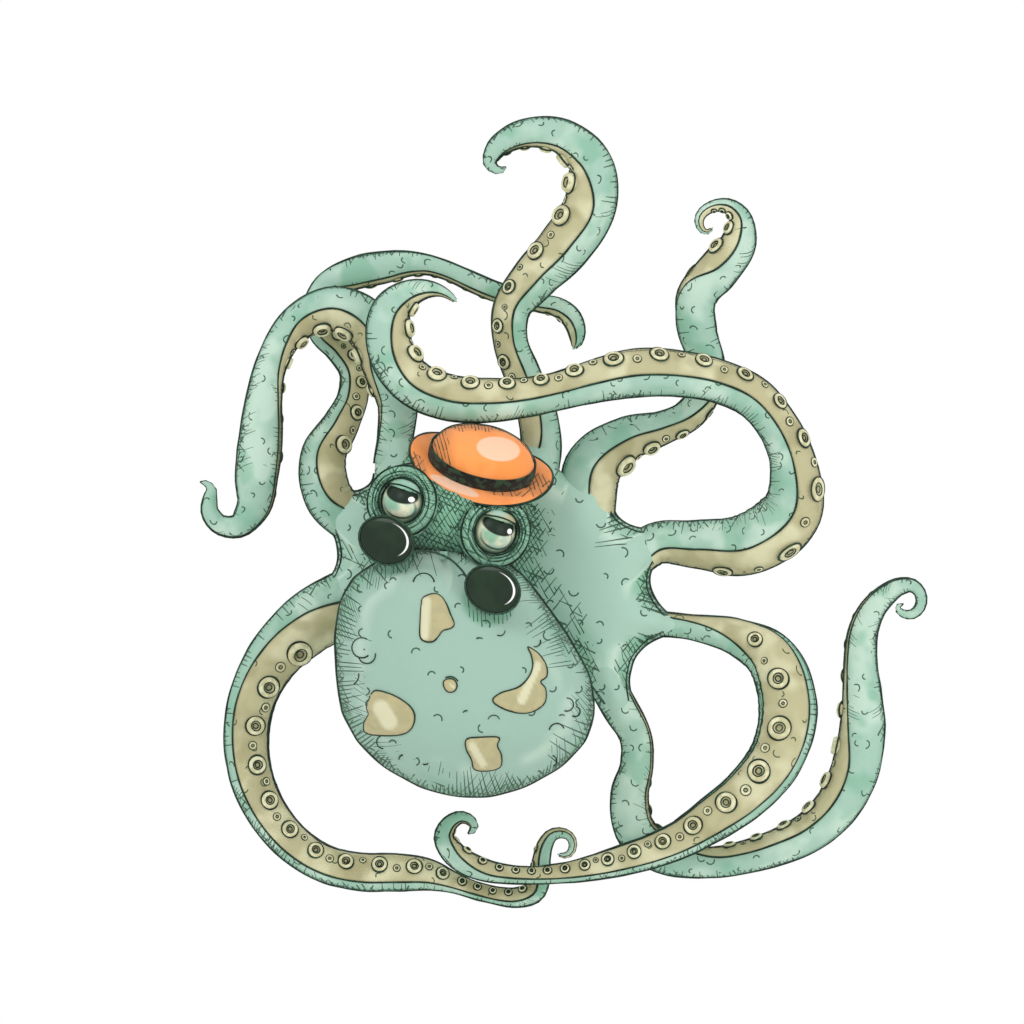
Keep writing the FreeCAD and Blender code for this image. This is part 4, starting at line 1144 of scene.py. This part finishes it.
# Each patch: its outline and the line of its painted highlight with that highlight's half width, in metres, (x, z)
PATCHES = [
    ([(-0.151, -0.033), (-0.130, -0.025), (-0.115, -0.031), (-0.104, -0.048), (-0.098, -0.064), (-0.090, -0.084),
      (-0.096, -0.093), (-0.112, -0.098), (-0.120, -0.108), (-0.131, -0.119), (-0.147, -0.119), (-0.157, -0.109),
      (-0.157, -0.079), (-0.155, -0.048)], (-0.146, -0.040), (-0.148, -0.108), 0.009),
    ([(-0.249, -0.218), (-0.226, -0.219), (-0.199, -0.230), (-0.176, -0.247), (-0.167, -0.266), (-0.173, -0.289),
      (-0.192, -0.302), (-0.230, -0.305), (-0.264, -0.300), (-0.268, -0.282), (-0.259, -0.263), (-0.262, -0.248)],
     (-0.232, -0.250), (-0.216, -0.276), 0.015),
    ([(-0.065, -0.311), (-0.035, -0.307), (-0.002, -0.308), (-0.005, -0.324), (0.003, -0.343), (0.001, -0.366),
      (-0.023, -0.374), (-0.050, -0.371), (-0.056, -0.351), (-0.066, -0.331)], (-0.055, -0.322), (-0.034, -0.358),
     0.007),
    ([(0.055, -0.130), (0.076, -0.144), (0.091, -0.167), (0.092, -0.188), (0.080, -0.199), (0.090, -0.213),
      (0.088, -0.240), (0.065, -0.257), (0.038, -0.260), (0.007, -0.251), (-0.014, -0.236), (0.000, -0.221),
      (0.034, -0.210), (0.053, -0.194), (0.064, -0.171), (0.062, -0.148)], (0.072, -0.168), (0.042, -0.234), 0.008),
    ([(-0.110, -0.197), (-0.100, -0.192), (-0.089, -0.195), (-0.084, -0.206), (-0.090, -0.217), (-0.102, -0.218),
      (-0.110, -0.208)], (-0.094, -0.206), (-0.092, -0.208), 0.003)]


def rounded(outline, steps=5):
    """Smooth closed line through the corners of an outline."""
    points = [Vector(p) for p in outline]
    line = []
    for k in range(len(points)):
        a, b, c, d = (points[(k + j) % len(points)] for j in (-1, 0, 1, 2))
        for step in range(steps):
            t = step / steps
            line.append(0.5 * ((2 * b) + (c - a) * t + (2 * a - 5 * b + 4 * c - d) * t * t
                               + (3 * b - a - 3 * c + d) * t * t * t))
    return line


mantle_skin = surface_of(mantle)


def on_mantle(x, z, lift):
    """Place on the front of the mantle at that x and z, lifted off the cloth."""
    hit = mantle_skin.ray_cast(Vector((x, -2.0, z)), Vector((0, 1, 0)))
    return hit[0] + hit[1] * lift


cords = []
for count, (outline, first, last, half) in enumerate(PATCHES):
    line = rounded(outline)
    points, faces = filled(line, 0.005)
    start, end = Vector(first), Vector(last)
    run = end - start
    top, bottom, light = [], [], []
    for p in points:
        inside = min((p - q).length for q in line)
        puff = 0.0035 * math.sqrt(min(inside / 0.012, 1.0))
        top.append(on_mantle(p.x, p.y, 0.0010 + puff))
        bottom.append(on_mantle(p.x, p.y, -0.0030))
        # how far the point lies within the patch's painted highlight
        t = min(max((p - start).dot(run) / run.length_squared, 0), 1)
        off = (p - start - run * t).length
        light.append((min(max((half * 1.25 - off) / (half * 0.4), 0), 1), 0.0))
    mesh = sheet_mesh("patch", top, bottom, faces, len(line))
    lay_out(mesh, "light", light + light)
    patch = link("mantle_patch_%d" % (count + 1), mesh, [patch_cloth])
    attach(patch, "crown")
    loop = [on_mantle(p.x, p.y, 0.0012) for p in line + line[:2]]
    cords.append(tube("cord", loop, uneven(np.arange(len(loop)) * 0.004, 0.0021, 0.0006, count + 0.5)))
# Short corded arcs and ticks on the mantle, like the folds of skin round a wart
for x, z, size, start, sweep in ((-0.150, -0.006, 0.021, 10, 160), (-0.272, -0.132, 0.020, 60, 250),
                                 (-0.262, -0.146, 0.017, 200, 170), (-0.230, -0.318, 0.013, 70, 200),
                                 (-0.012, -0.276, 0.012, 20, 140), (0.112, -0.296, 0.015, 20, 150),
                                 (0.132, -0.244, 0.013, 250, 200), (0.148, -0.258, 0.010, 240, 200),
                                 (0.122, -0.274, 0.010, 60, 60), (0.070, -0.120, 0.010, 250, 130),
                                 (0.000, -0.098, 0.010, 240, 120), (-0.040, -0.124, 0.012, 60, 60),
                                 (-0.148, -0.352, 0.010, 250, 60), (-0.098, -0.206, 0.018, 30, 90),
                                 (0.100, -0.356, 0.012, 300, 130), (-0.190, -0.352, 0.009, 100, 80),
                                 (-0.066, -0.262, 0.007, 70, 80), (-0.298, -0.186, 0.020, 300, 70)):
    angles = [math.radians(start + sweep * t) for t in np.linspace(0, 1, 14)]
    arc = [on_mantle(x + size * math.cos(a), z + size * math.sin(a), 0.0008) for a in angles]
    cords.append(tube("cord", arc, uneven(np.arange(14) * 0.004, 0.0019, 0.0007, x * 50)))
marks = link("mantle_cords", joined("cords", cords), [piping])
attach(marks, "crown")

# ---- Eyes: a stuffed ring with two folds, a domed ball of white cloth with a printed pupil, and a lid ----

def flat_end(mesh):
    """Middle and outward normal of a solid's largest flat face, and its corners."""
    groups = {}
    for face in mesh.polygons:
        key = tuple(round(c, 2) + 0.0 for c in face.normal)
        groups.setdefault(key, []).append(face)
    faces = max(groups.values(), key=lambda fs: sum(f.area for f in fs))
    corners = np.array(sorted({tuple(round(c, 6) for c in mesh.vertices[k].co) for f in faces for k in f.vertices}))
    normal = np.array(faces[0].normal)
    return corners.mean(axis=0), normal / np.linalg.norm(normal), corners


# Eye white: cream cloth with the pupil printed on it, a painted glint and a painted shadow under the lid
eye_print, tree = new_material("printed_eye_cloth")
across, upward = layout_of(tree, "eye")
place = place_of(tree)
colour = blended(tree, cloudy(tree, place, 50, 0.42, 0.60), linear("#b9d2bd"), linear("#e3e2c4"))
colour = blended(tree, calc(tree, "MULTIPLY", oval(tree, across, upward, (-0.28, -0.22), (0.34, 0.30), 0.3), 0.8),
                 colour, linear("#7fb598"))
ring_line = calc(tree, "SUBTRACT", oval(tree, across, upward, (0.05, -0.22), (0.74, 0.56)),
                 oval(tree, across, upward, (0.03, -0.19), (0.70, 0.50)))
colour = blended(tree, ring_line, colour, linear("#244c34"))
colour = blended(tree, oval(tree, across, upward, (-0.02, 0.30), (0.76, 0.42)), colour, linear("#0f2416"))
# Painted highlight: a white glint at the right of the pupil
colour = blended(tree, oval(tree, across, upward, (0.50, 0.20), (0.13, 0.12)), colour, linear("#ffffff"))
rim = calc(tree, "SQRT", calc(tree, "ADD", calc(tree, "MULTIPLY", across, across),
                              calc(tree, "MULTIPLY", upward, upward)))
rim = add(tree, "ShaderNodeMapRange", {"Value": rim, "From Min": 0.80, "From Max": 1.0}).outputs[0]
colour = blended(tree, rim, colour, linear("#3d6b4f"))
finish_cloth(tree, colour, grain(tree, place, 1500.0), roughness=0.35, bump=0.1, sheen=0.05)

# Lid cloth: tan at the free edge, green above, with a few folds drawn in it, and the arms' painted shade in bands
# across it, one along its free edge
lid_cloth = sleeve_cloth("lid_ripstop", "#b9b48c", "#a9cab9", "#7fb598", "#244c34", 0.10, 0.0)
ring_cloth = broad_cloth("eye_ring_ripstop", "#b5d3c2", "#93bfa6", "#6ea587", "#1f4430", 0.030, 0.006, 0.20, 0.0,
                         0.012, crossing=lambda tree, inward: 0.42)

DISC_SIDES = 48                     # of an eyeball and of a lens
RING_SIDES = 56                     # of the ring round an eye
LID_REACH = 1.07                    # half width of a lid, in radii of the eyeball
LID_SAG = 0.16                      # how far the middle of its free edge hangs
BRIM_GAP, BRIM_REACH = 0.007, 0.16  # a ring stays this far under the brim, within this reach of the hat
eye_frames = {label: flat_end(nodes["eyeball_" + label].data) for label in ("left", "right")}
brim_middle, brim_down, _ = flat_end(nodes["hat_crown"].data)
for label, (base, inward, corners) in eye_frames.items():
    axis = -inward
    radius = float(np.linalg.norm(corners - base, axis=1).mean())
    tall = float(((vertex_array(nodes["eyeball_" + label].data) - base) @ axis).max())
    side = eye_frames["right"][0] - eye_frames["left"][0]
    side = side - axis * float(side @ axis)
    side /= np.linalg.norm(side)
    up = np.cross(side, axis)
    up = up * np.sign(up[2])
    # ball
    rows = [(radius * math.cos(math.radians(a)), tall * math.sin(math.radians(a))) for a in np.linspace(0, 88, 14)]
    rings = [circle(base + axis * h, side, up, r, r, DISC_SIDES) for r, h in rows]
    layout = disc_layout([r / radius for r, h in rows], DISC_SIDES)
    ball = link("eyeball_%s_cloth" % label, ring_mesh("eyeball", rings, (("eye", layout),)), [eye_print])
    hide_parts("eyeball_" + label)
    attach(ball, "crown")
    # lid
    edge_height = float((vertex_array(nodes["eyelid_" + label].data) @ up).min() - base @ up) / radius + 0.34
    start = math.asin(edge_height / LID_REACH)
    arc = [(LID_REACH * math.cos(t), LID_REACH * math.sin(t)) for t in np.linspace(start, math.pi - start, 30)]
    sag = [(-u * math.cos(start) * LID_REACH, edge_height + LID_SAG * (1 - u * u))
           for u in np.linspace(1, -1, 24)[1:-1]]
    points, faces = filled([(x * radius, y * radius) for x, y in arc + sag[::-1]], 0.004)
    outer, inner = [], []
    for p in points:
        r = math.hypot(p[0], p[1]) / radius
        over = tall * math.sqrt(max(1 - (r / 1.10) ** 2, 0.0))
        from_edge = p[1] / radius - edge_height - LID_SAG * (1 - min(abs(p[0] / radius), 1.0) ** 2)
        puff = 0.0035 * math.sqrt(min(max(from_edge, 0.0) / 0.25, 1.0)) + 0.0010 * math.sin(from_edge * 40)
        foot = base + side * p[0] + up * p[1]
        outer.append(foot + axis * (over + 0.0045 + puff))
        inner.append(foot + axis * (over + 0.0022))
    mesh = sheet_mesh("lid", outer, inner, faces, len(arc) + len(sag))
    for layout_name in ("cloth", "turn"):
        lay_out(mesh, layout_name, [(p[0], p[1] / radius - edge_height) for p in list(points) + list(points)])
    lid = link("eyelid_%s_cloth" % label, mesh, [lid_cloth])
    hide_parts("eyelid_" + label)
    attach(lid, "crown")
    cord = [base + side * x * radius + up * y * radius
            + axis * (tall * math.sqrt(max(1 - ((x * x + y * y) / 1.21), 0.0)) + 0.0045) for x, y in sag]
    radii = uneven(np.arange(len(cord)) * 0.004, 0.0022, 0.0012, 3)
    edge = link("eyelid_%s_edge" % label, tube("edge", cord, radii), [piping])
    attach(edge, "crown")
    # ring round the eye: two rolls with a seam between, held down where the hat's brim passes over it
    solid = vertex_array(nodes["eye_socket_" + label].data)
    high = float(((solid - base) @ axis).max())
    wide = float(np.linalg.norm((solid - base) - np.outer((solid - base) @ axis, axis), axis=1).max())
    slope = wide - radius
    section = [(radius * 1.01, 0.1), (radius * 1.01, 0.7)]
    section += [(radius + share * slope, height) for share, height in
                ((0.14, 0.94), (0.30, 1.0), (0.42, 0.90), (0.48, 0.80), (0.56, 0.89), (0.70, 0.88), (0.84, 0.74),
                 (0.95, 0.50), (1.0, 0.25), (1.0, 0.0), (0.5, -0.05))]

    def pressed(point):
        """Under the brim the ring is pushed down to it."""
        over = float((brim_middle - point) @ brim_down)
        if over > -BRIM_GAP and np.linalg.norm(point - brim_middle) < BRIM_REACH:
            return point + brim_down * (over + BRIM_GAP)
        return point

    rings = [[pressed(p) for p in ring] for ring in
             turned([(r, h * high) for r, h in section], base, axis, side, RING_SIDES)]
    around = [(k / RING_SIDES * 2 * math.pi * r, 0.004 + 0.014 * (1 - abs(h)) + 0.010 * (row % 2))
              for row, (r, h) in enumerate(section) for k in range(RING_SIDES)]
    mesh = ring_mesh("socket", rings, (("edge", around),), hoop=True)
    ring = link("eye_socket_%s_cloth" % label, mesh, [ring_cloth])
    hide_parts("eye_socket_" + label)
    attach(ring, "crown")
    cords = []
    for share, height, thick in ((0.03, 0.86, 0.0020), (0.48, 0.83, 0.0016), (0.93, 0.60, 0.0022),
                                 (0.22, 1.0, 0.0009)):
        for turn in (0.0, 0.35):
            loop = [pressed(base + axis * (height * high) + (side * math.cos(t) + up * math.sin(t))
                            * (radius + share * slope + 0.0016 * math.sin(3 * t + turn * 9)) + up * 0.0012 * turn)
                    for t in np.linspace(turn, turn + 2 * math.pi, 61)]
            cords.append(tube("cord", loop, uneven(np.arange(61) * 0.006, thick, thick * 0.5, share * 10 + turn)))
    lines = link("eye_socket_%s_cords" % label, joined("cords", cords), [piping])
    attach(lines, "crown")

# ---- Hat: blocked felt, a domed crown and a brim curled up at its sides, with a ribbon band ----

# Felt: orange, short-napped, with a painted highlight pale on top and in a streak on the brim, and painted shade,
# darker with inked strokes, at the left and top of the dome and in patches on the brim
felt, tree = new_material("orange_felt")
place = place_of(tree)
on_dome = calc(tree, "GREATER_THAN", layout_of(tree, "hat")[1], 0.0)
on_brim = calc(tree, "SUBTRACT", 1.0, on_dome)
xyz = add(tree, "ShaderNodeSeparateXYZ", {0: place}).outputs
colour = blended(tree, cloudy(tree, place, 16, 0.42, 0.60), linear("#ff9f57"), linear("#f9964c"))
# Painted shade: darker at the left and top of the dome, and in patches on the brim
felt_painted_shade = calc(tree, "MULTIPLY", on_dome, calc(tree, "MAXIMUM", falling(tree, xyz[0], -0.112, -0.078),
                                            calc(tree, "SUBTRACT", 1.0, falling(tree, xyz[2], 0.292, 0.304))))
for middle, half, degrees in (((-0.160, 0.222), (0.014, 0.030), 20), ((0.010, 0.176), (0.040, 0.009), -6),
                              ((0.074, 0.190), (0.036, 0.022), -20)):
    patch = calc(tree, "MULTIPLY", on_brim, leaning_oval(tree, place, middle, half, degrees, 0.2))
    felt_painted_shade = calc(tree, "MAXIMUM", felt_painted_shade, patch)
colour = blended(tree, calc(tree, "MULTIPLY", felt_painted_shade, 0.75), colour, linear("#cc7f47"))
# Painted highlight: a pale oval on the dome and a streak on the brim
felt_painted_highlight = calc(tree, "MULTIPLY", on_dome, leaning_oval(tree, place, (-0.003, 0.261), (0.043, 0.024), -8, 0.05))
patch = calc(tree, "MULTIPLY", on_brim, leaning_oval(tree, place, (-0.090, 0.188), (0.052, 0.010), -23, 0.05))
felt_painted_highlight = calc(tree, "MAXIMUM", felt_painted_highlight, patch)
colour = blended(tree, felt_painted_highlight, colour, linear("#f8c7a6"))
# Inked strokes of painted shade over the darker places
inked = calc(tree, "MULTIPLY", on_dome, hatch(tree, place, 14, 0.0065, 0.030, calc(tree, "MULTIPLY", felt_painted_shade, 0.9), 0.2))
for degrees in (20, -52):
    drawn = hatch(tree, place, degrees, 0.008, 0.030, calc(tree, "MULTIPLY", felt_painted_shade, 0.6), 0.16)
    inked = calc(tree, "MAXIMUM", inked, calc(tree, "MULTIPLY", on_brim, drawn))
colour = blended(tree, calc(tree, "MULTIPLY", inked, 0.9), colour, linear("#2a3a22"))
finish_cloth(tree, colour, grain(tree, place, 700.0, 4.0), roughness=0.9, bump=0.45, sheen=0.25)

# Ribbon: grosgrain, near black, with fine ribs and a dark green thread
ribbon, tree = new_material("grosgrain_ribbon")
ribs = calc(tree, "SINE", calc(tree, "MULTIPLY", layout_of(tree, "hat")[1], 160.0))
place = place_of(tree)
colour = blended(tree, cloudy(tree, place, 75, 0.49, 0.53, 3.0), linear("#060b07"), linear("#24462f"))
finish_cloth(tree, colour, ribs, roughness=0.55, bump=0.5, sheen=0.1)

crown_solid = vertex_array(nodes["hat_crown"].data)
hat_middle, hat_down, base_corners = flat_end(nodes["hat_crown"].data)
hat_up = -hat_down
spread = base_corners - hat_middle
hat_side = np.linalg.svd(spread)[2][0]
hat_side = hat_side * np.sign(hat_side[0])
hat_front = np.cross(hat_side, hat_up)
hat_front = hat_front * np.sign(-hat_front[1])
brim_solid = vertex_array(nodes["hat_brim"].data) - hat_middle
rim_side = float((brim_solid @ hat_side).max())
rim_front = float((brim_solid @ hat_front).max())
side_lift = float((brim_solid @ hat_up).max())
band_solid = vertex_array(nodes["hat_band"].data) - hat_middle
band_low, band_high = float((band_solid @ hat_up).min()), float((band_solid @ hat_up).max())
dome_side = float((band_solid @ hat_side).max()) - 0.003
dome_front = float((band_solid @ hat_front).max()) - 0.003
dome_top = float(((crown_solid - hat_middle) @ hat_up).max())
seat = band_low


def hat_rows(rows, sides=64):
    """Rings of the hat: rows of (height, half width, half depth, lift at the sides, fall at the back)."""
    rings = []
    for height, half_side, half_front, lift, fall in rows:
        ring = []
        for k in range(sides):
            a = 2 * math.pi * k / sides
            ring.append(hat_middle + hat_side * (half_side * math.cos(a)) + hat_front * (half_front * math.sin(a))
                        + hat_up * (height + lift * math.cos(a) ** 2 - fall * max(-math.sin(a), 0.0) ** 1.5))
        rings.append(ring)
    return rings


def hat_layout(rows, sides=64):
    """u is the angle round the hat from its left, over the front, and v the height in the rows' own share."""
    return [((math.pi - 2 * math.pi * k / sides) % (2 * math.pi), v) for v in rows for k in range(sides)]


dome_rows = [(seat, 1.0), (seat + 0.10 * dome_top, 1.0), (0.32 * dome_top, 0.995), (0.48 * dome_top, 0.965),
             (0.62 * dome_top, 0.92), (0.75 * dome_top, 0.83), (0.85 * dome_top, 0.71), (0.93 * dome_top, 0.54),
             (0.98 * dome_top, 0.34), (0.995 * dome_top, 0.14), (1.0 * dome_top, 0.01)]
rows = [(h, dome_side * s, dome_front * s, 0.0, 0.0) for h, s in dome_rows]
heights = [h / dome_top for h, s in dome_rows]
dome = link("hat_crown_felt", ring_mesh("dome", hat_rows(rows), (("hat", hat_layout(heights)),)), [felt])
dome.modifiers.new("round", "SUBSURF").levels = 1
baked(dome)
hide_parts("hat_crown")
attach(dome, "crown")

BRIM_FALL = 0.032                   # how far the brim bends down at the back
brim_rows = []
for share in np.linspace(0.0, 1.0, 9):
    half_side = dome_side - 0.006 + (rim_side - dome_side + 0.003) * share
    half_front = dome_front - 0.006 + (rim_front - dome_front + 0.003) * share
    brim_rows.append((seat + 0.002 * share, half_side, half_front, (side_lift - seat - 0.002) * share ** 2,
                      BRIM_FALL * share))
edge = [(h - 0.0025, s + 0.0025, f + 0.0025, l, b) for h, s, f, l, b in brim_rows[-1:]]
under = [(h - 0.006, s, f, l, b) for h, s, f, l, b in brim_rows[::-1]]
rows = brim_rows + edge + under
values = [-v for v in list(np.linspace(0.05, 0.6, 9)) + [0.62] + list(np.linspace(0.6, 0.05, 9))]
brim = link("hat_brim_felt", ring_mesh("brim", hat_rows(rows), (("hat", hat_layout(values)),), hoop=True), [felt])
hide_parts("hat_brim")
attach(brim, "crown")
binding = hat_rows([(h - 0.0015, s + 0.0026, f + 0.0026, l, b) for h, s, f, l, b in brim_rows[-1:]], 120)[0]
bound = link("hat_brim_binding", tube("binding", np.array(binding + binding[:2]),
                                      uneven(np.arange(122) * 0.008, 0.0038, 0.0020, 1.2)), [piping])
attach(bound, "crown")
# two cords sewn over the dome, from the band on one side to the band on the other
loop = silhouette(dome)
heights = (loop - hat_middle) @ hat_up
first = int(np.argmin(np.where(np.roll(heights, 1) < band_high, heights, 9)))
over = [p for p, h in zip(np.roll(loop, -first, axis=0), np.roll(heights, -first)) if h > band_high]
dome_skin = surface_of(dome)
cords = []
for stray, thick, thin in ((0.0, 0.0032, 0.0014), (0.007, 0.0016, 0.0006)):
    path = []
    for k, p in enumerate(over):
        toward = hat_middle + hat_up * 0.03 - p
        toward[1] = 0
        q = p + toward / np.linalg.norm(toward) * stray * (1 + noise.noise(Vector((k * 0.1, 2.0, 5.0))))
        near = dome_skin.find_nearest(Vector(q) + Vector((0, -0.004 - stray, 0))) if stray else (Vector(p), Vector())
        path.append(tuple(near[0]))
    cords.append(tube("cord", path, uneven(np.arange(len(path)) * 0.004, thick, thin, stray * 900 + 4)))
over_dome = link("hat_crown_cords", joined("cords", cords), [piping])
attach(over_dome, "crown")

heights = np.linspace(seat, band_high + 0.005, 7)
swells = [0.0012 * abs(k - 3) / 3 for k in range(7)]
rows = [(h, dome_side + 0.0030 - swell, dome_front + 0.0030 - swell, 0.0, 0.0) for h, swell in zip(heights, swells)]
rows += [(h, dome_side * 0.985, dome_front * 0.985, 0.0, 0.0) for h in heights[::-1]]
values = list(np.linspace(0, 1, 7)) + list(np.linspace(1, 0, 7))
band = link("hat_band_ribbon", ring_mesh("band", hat_rows(rows), (("hat", hat_layout(values)),), hoop=True),
            [ribbon])
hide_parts("hat_band")
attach(band, "crown")

# ---- Glasses: dark domed lenses in a wire frame, its bow over the bridge pad ----

# Lens: smoked glass, green-black and polished, with a bright crescent of painted reflection in its colour
lens_glass, tree = new_material("smoked_lens")
place = place_of(tree)
across, upward = layout_of(tree, "lens")
# Painted reflection: a white crescent near the rim of the lens
painted_reflection = calc(tree, "SUBTRACT", oval(tree, across, upward, (0.10, 0.10), (0.74, 0.72), 0.02),
                oval(tree, across, upward, (0.03, 0.05), (0.745, 0.76), 0.02))
painted_reflection = calc(tree, "MAXIMUM", painted_reflection, 0.0)
colour = blended(tree, cloudy(tree, place, 20, 0.4, 0.6), linear("#1d321f"), linear("#17291b"))
colour = blended(tree, painted_reflection, colour, linear("#ffffff"))
shader = add(tree, "ShaderNodeBsdfPrincipled", {"Base Color": colour, "Roughness": 0.16, "Specular IOR Level": 0.2,
                                                "Coat Weight": 0.08, "Coat Roughness": 0.05})
add(tree, "ShaderNodeOutputMaterial", {"Surface": shader.outputs[0]})

# Frame: wire, lacquered dark green
wire, tree = new_material("lacquered_wire")
place = place_of(tree)
colour = blended(tree, cloudy(tree, place, 120, 0.45, 0.60), linear("#1a3324"), linear("#244c34"))
relief = add(tree, "ShaderNodeBump", {"Strength": 0.15, "Distance": 0.0005, "Height": grain(tree, place, 800.0)})
shader = add(tree, "ShaderNodeBsdfPrincipled", {"Base Color": colour, "Roughness": 0.35, "Metallic": 0.3,
                                                "Normal": relief.outputs[0]})
add(tree, "ShaderNodeOutputMaterial", {"Surface": shader.outputs[0]})

for label in ("left", "right"):
    solid = np.unique(np.round(vertex_array(nodes["lens_" + label].data), 6), axis=0)
    middle = solid.mean(axis=0)
    spread = np.linalg.svd(solid - middle)[2]
    side, up, out = spread[0] * np.sign(spread[0][0]), spread[1] * np.sign(spread[1][2]), spread[2]
    out = out * -np.sign(out[1])
    half_side, half_up = float(((solid - middle) @ side).max()), float(((solid - middle) @ up).max())
    deep = float(((solid - middle) @ out).max())
    rows = [(0.4, -deep), (0.97, -deep)]
    rows += [(math.cos(math.radians(a)), deep * 0.4 + 0.0060 * math.sin(math.radians(a)))
             for a in (0, 15, 32, 50, 68, 88)]
    rings = [circle(middle + out * h, side, up, half_side * s, half_up * s, DISC_SIDES) for s, h in rows]
    layout = disc_layout([s for s, h in rows], DISC_SIDES)
    lens = link("lens_%s_glass" % label, ring_mesh("lens", rings, (("lens", layout),)), [lens_glass])
    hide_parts("lens_" + label)
    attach(lens, "crown")
nodes["glasses_frame"].data.materials.clear()
nodes["glasses_frame"].data.materials.append(wire)

# ---- Hub, knuckles and tow point: moulded nylon, steel pins, foam pads and a brass bush ----

def moulded(name, dark, light, roughness, metallic, cells, bump, specular=0.4):
    """Hard material: two close tones in soft patches, and a fine relief."""
    material, tree = new_material(name)
    place = place_of(tree)
    colour = blended(tree, cloudy(tree, place, 45, 0.42, 0.60), linear(dark), linear(light))
    relief = add(tree, "ShaderNodeBump", {"Strength": bump, "Distance": 0.0006,
                                          "Height": grain(tree, place, cells, 4.0)})
    shader = add(tree, "ShaderNodeBsdfPrincipled",
                 {"Base Color": colour, "Roughness": roughness, "Metallic": metallic,
                  "Normal": relief.outputs[0], "Specular IOR Level": specular})
    add(tree, "ShaderNodeOutputMaterial", {"Surface": shader.outputs[0]})
    return material


# Nylon: dark green, with the dull sparkle of a moulded surface
nylon = moulded("moulded_nylon", "#1c3a28", "#25492f", 0.48, 0.0, 1400, 0.25)
# Steel of the pins: drawn bar, faintly streaked
steel = moulded("pin_steel", "#8d9290", "#a5aaa7", 0.32, 1.0, 600, 0.12)
# Brass of the bush: warm, rubbed bright
brass = moulded("brass", "#b08a3e", "#c9a455", 0.28, 1.0, 500, 0.10)
# Foam: pale green open cells
foam = moulded("closed_cell_foam", "#6f9481", "#7fa491", 0.9, 0.0, 900, 0.8, 0.1)
for names, material in ((("hub_front_plate", "hub_back_plate", "hub_posts", "tow_lug"), nylon),
                        ([body + "_knuckle" for body in arms], nylon), (("arm_pins",), steel), (("tow_bush",), brass),
                        (("neck_pad", "back_pad", "bridge_pad"), foam)):
    for name in names:
        nodes[name].data.materials.clear()
        nodes[name].data.materials.append(material)

# Hem round the opening for the tow lug: a square of webbing with rounded corners
HEM_POINTS, HEM_HALF, HEM_CORD = 64, 0.031, 0.0045
lug_middle = (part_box("tow_lug")[0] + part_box("tow_lug")[1]) / 2
crown_skin = surface_of(crown)
hem = []
for k in range(HEM_POINTS):
    a = 2 * math.pi * k / HEM_POINTS
    reach = HEM_HALF / max(abs(math.cos(a)), abs(math.sin(a))) ** 0.82
    x, z = lug_middle.x + reach * math.cos(a), lug_middle.z + reach * math.sin(a)
    hit = crown_skin.ray_cast(Vector((x, 1.0, z)), Vector((0, -1, 0)))
    hem.append((x, hit[0].y if hit[0] is not None and hit[0].y > middle_y else back_y, z))
level = float(np.median([p[1] for p in hem]))
hem = [(x, level, z) for x, y, z in hem]
border = link("lug_hem", tube("lug_hem", np.array(hem + hem[:2]), [HEM_CORD] * (HEM_POINTS + 2), 10), [piping])
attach(border, "crown")

for (body, part), obj in skins.items():
    out = Vector(sleeves[body].centre[0]) - pins[body]
    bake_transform(obj)
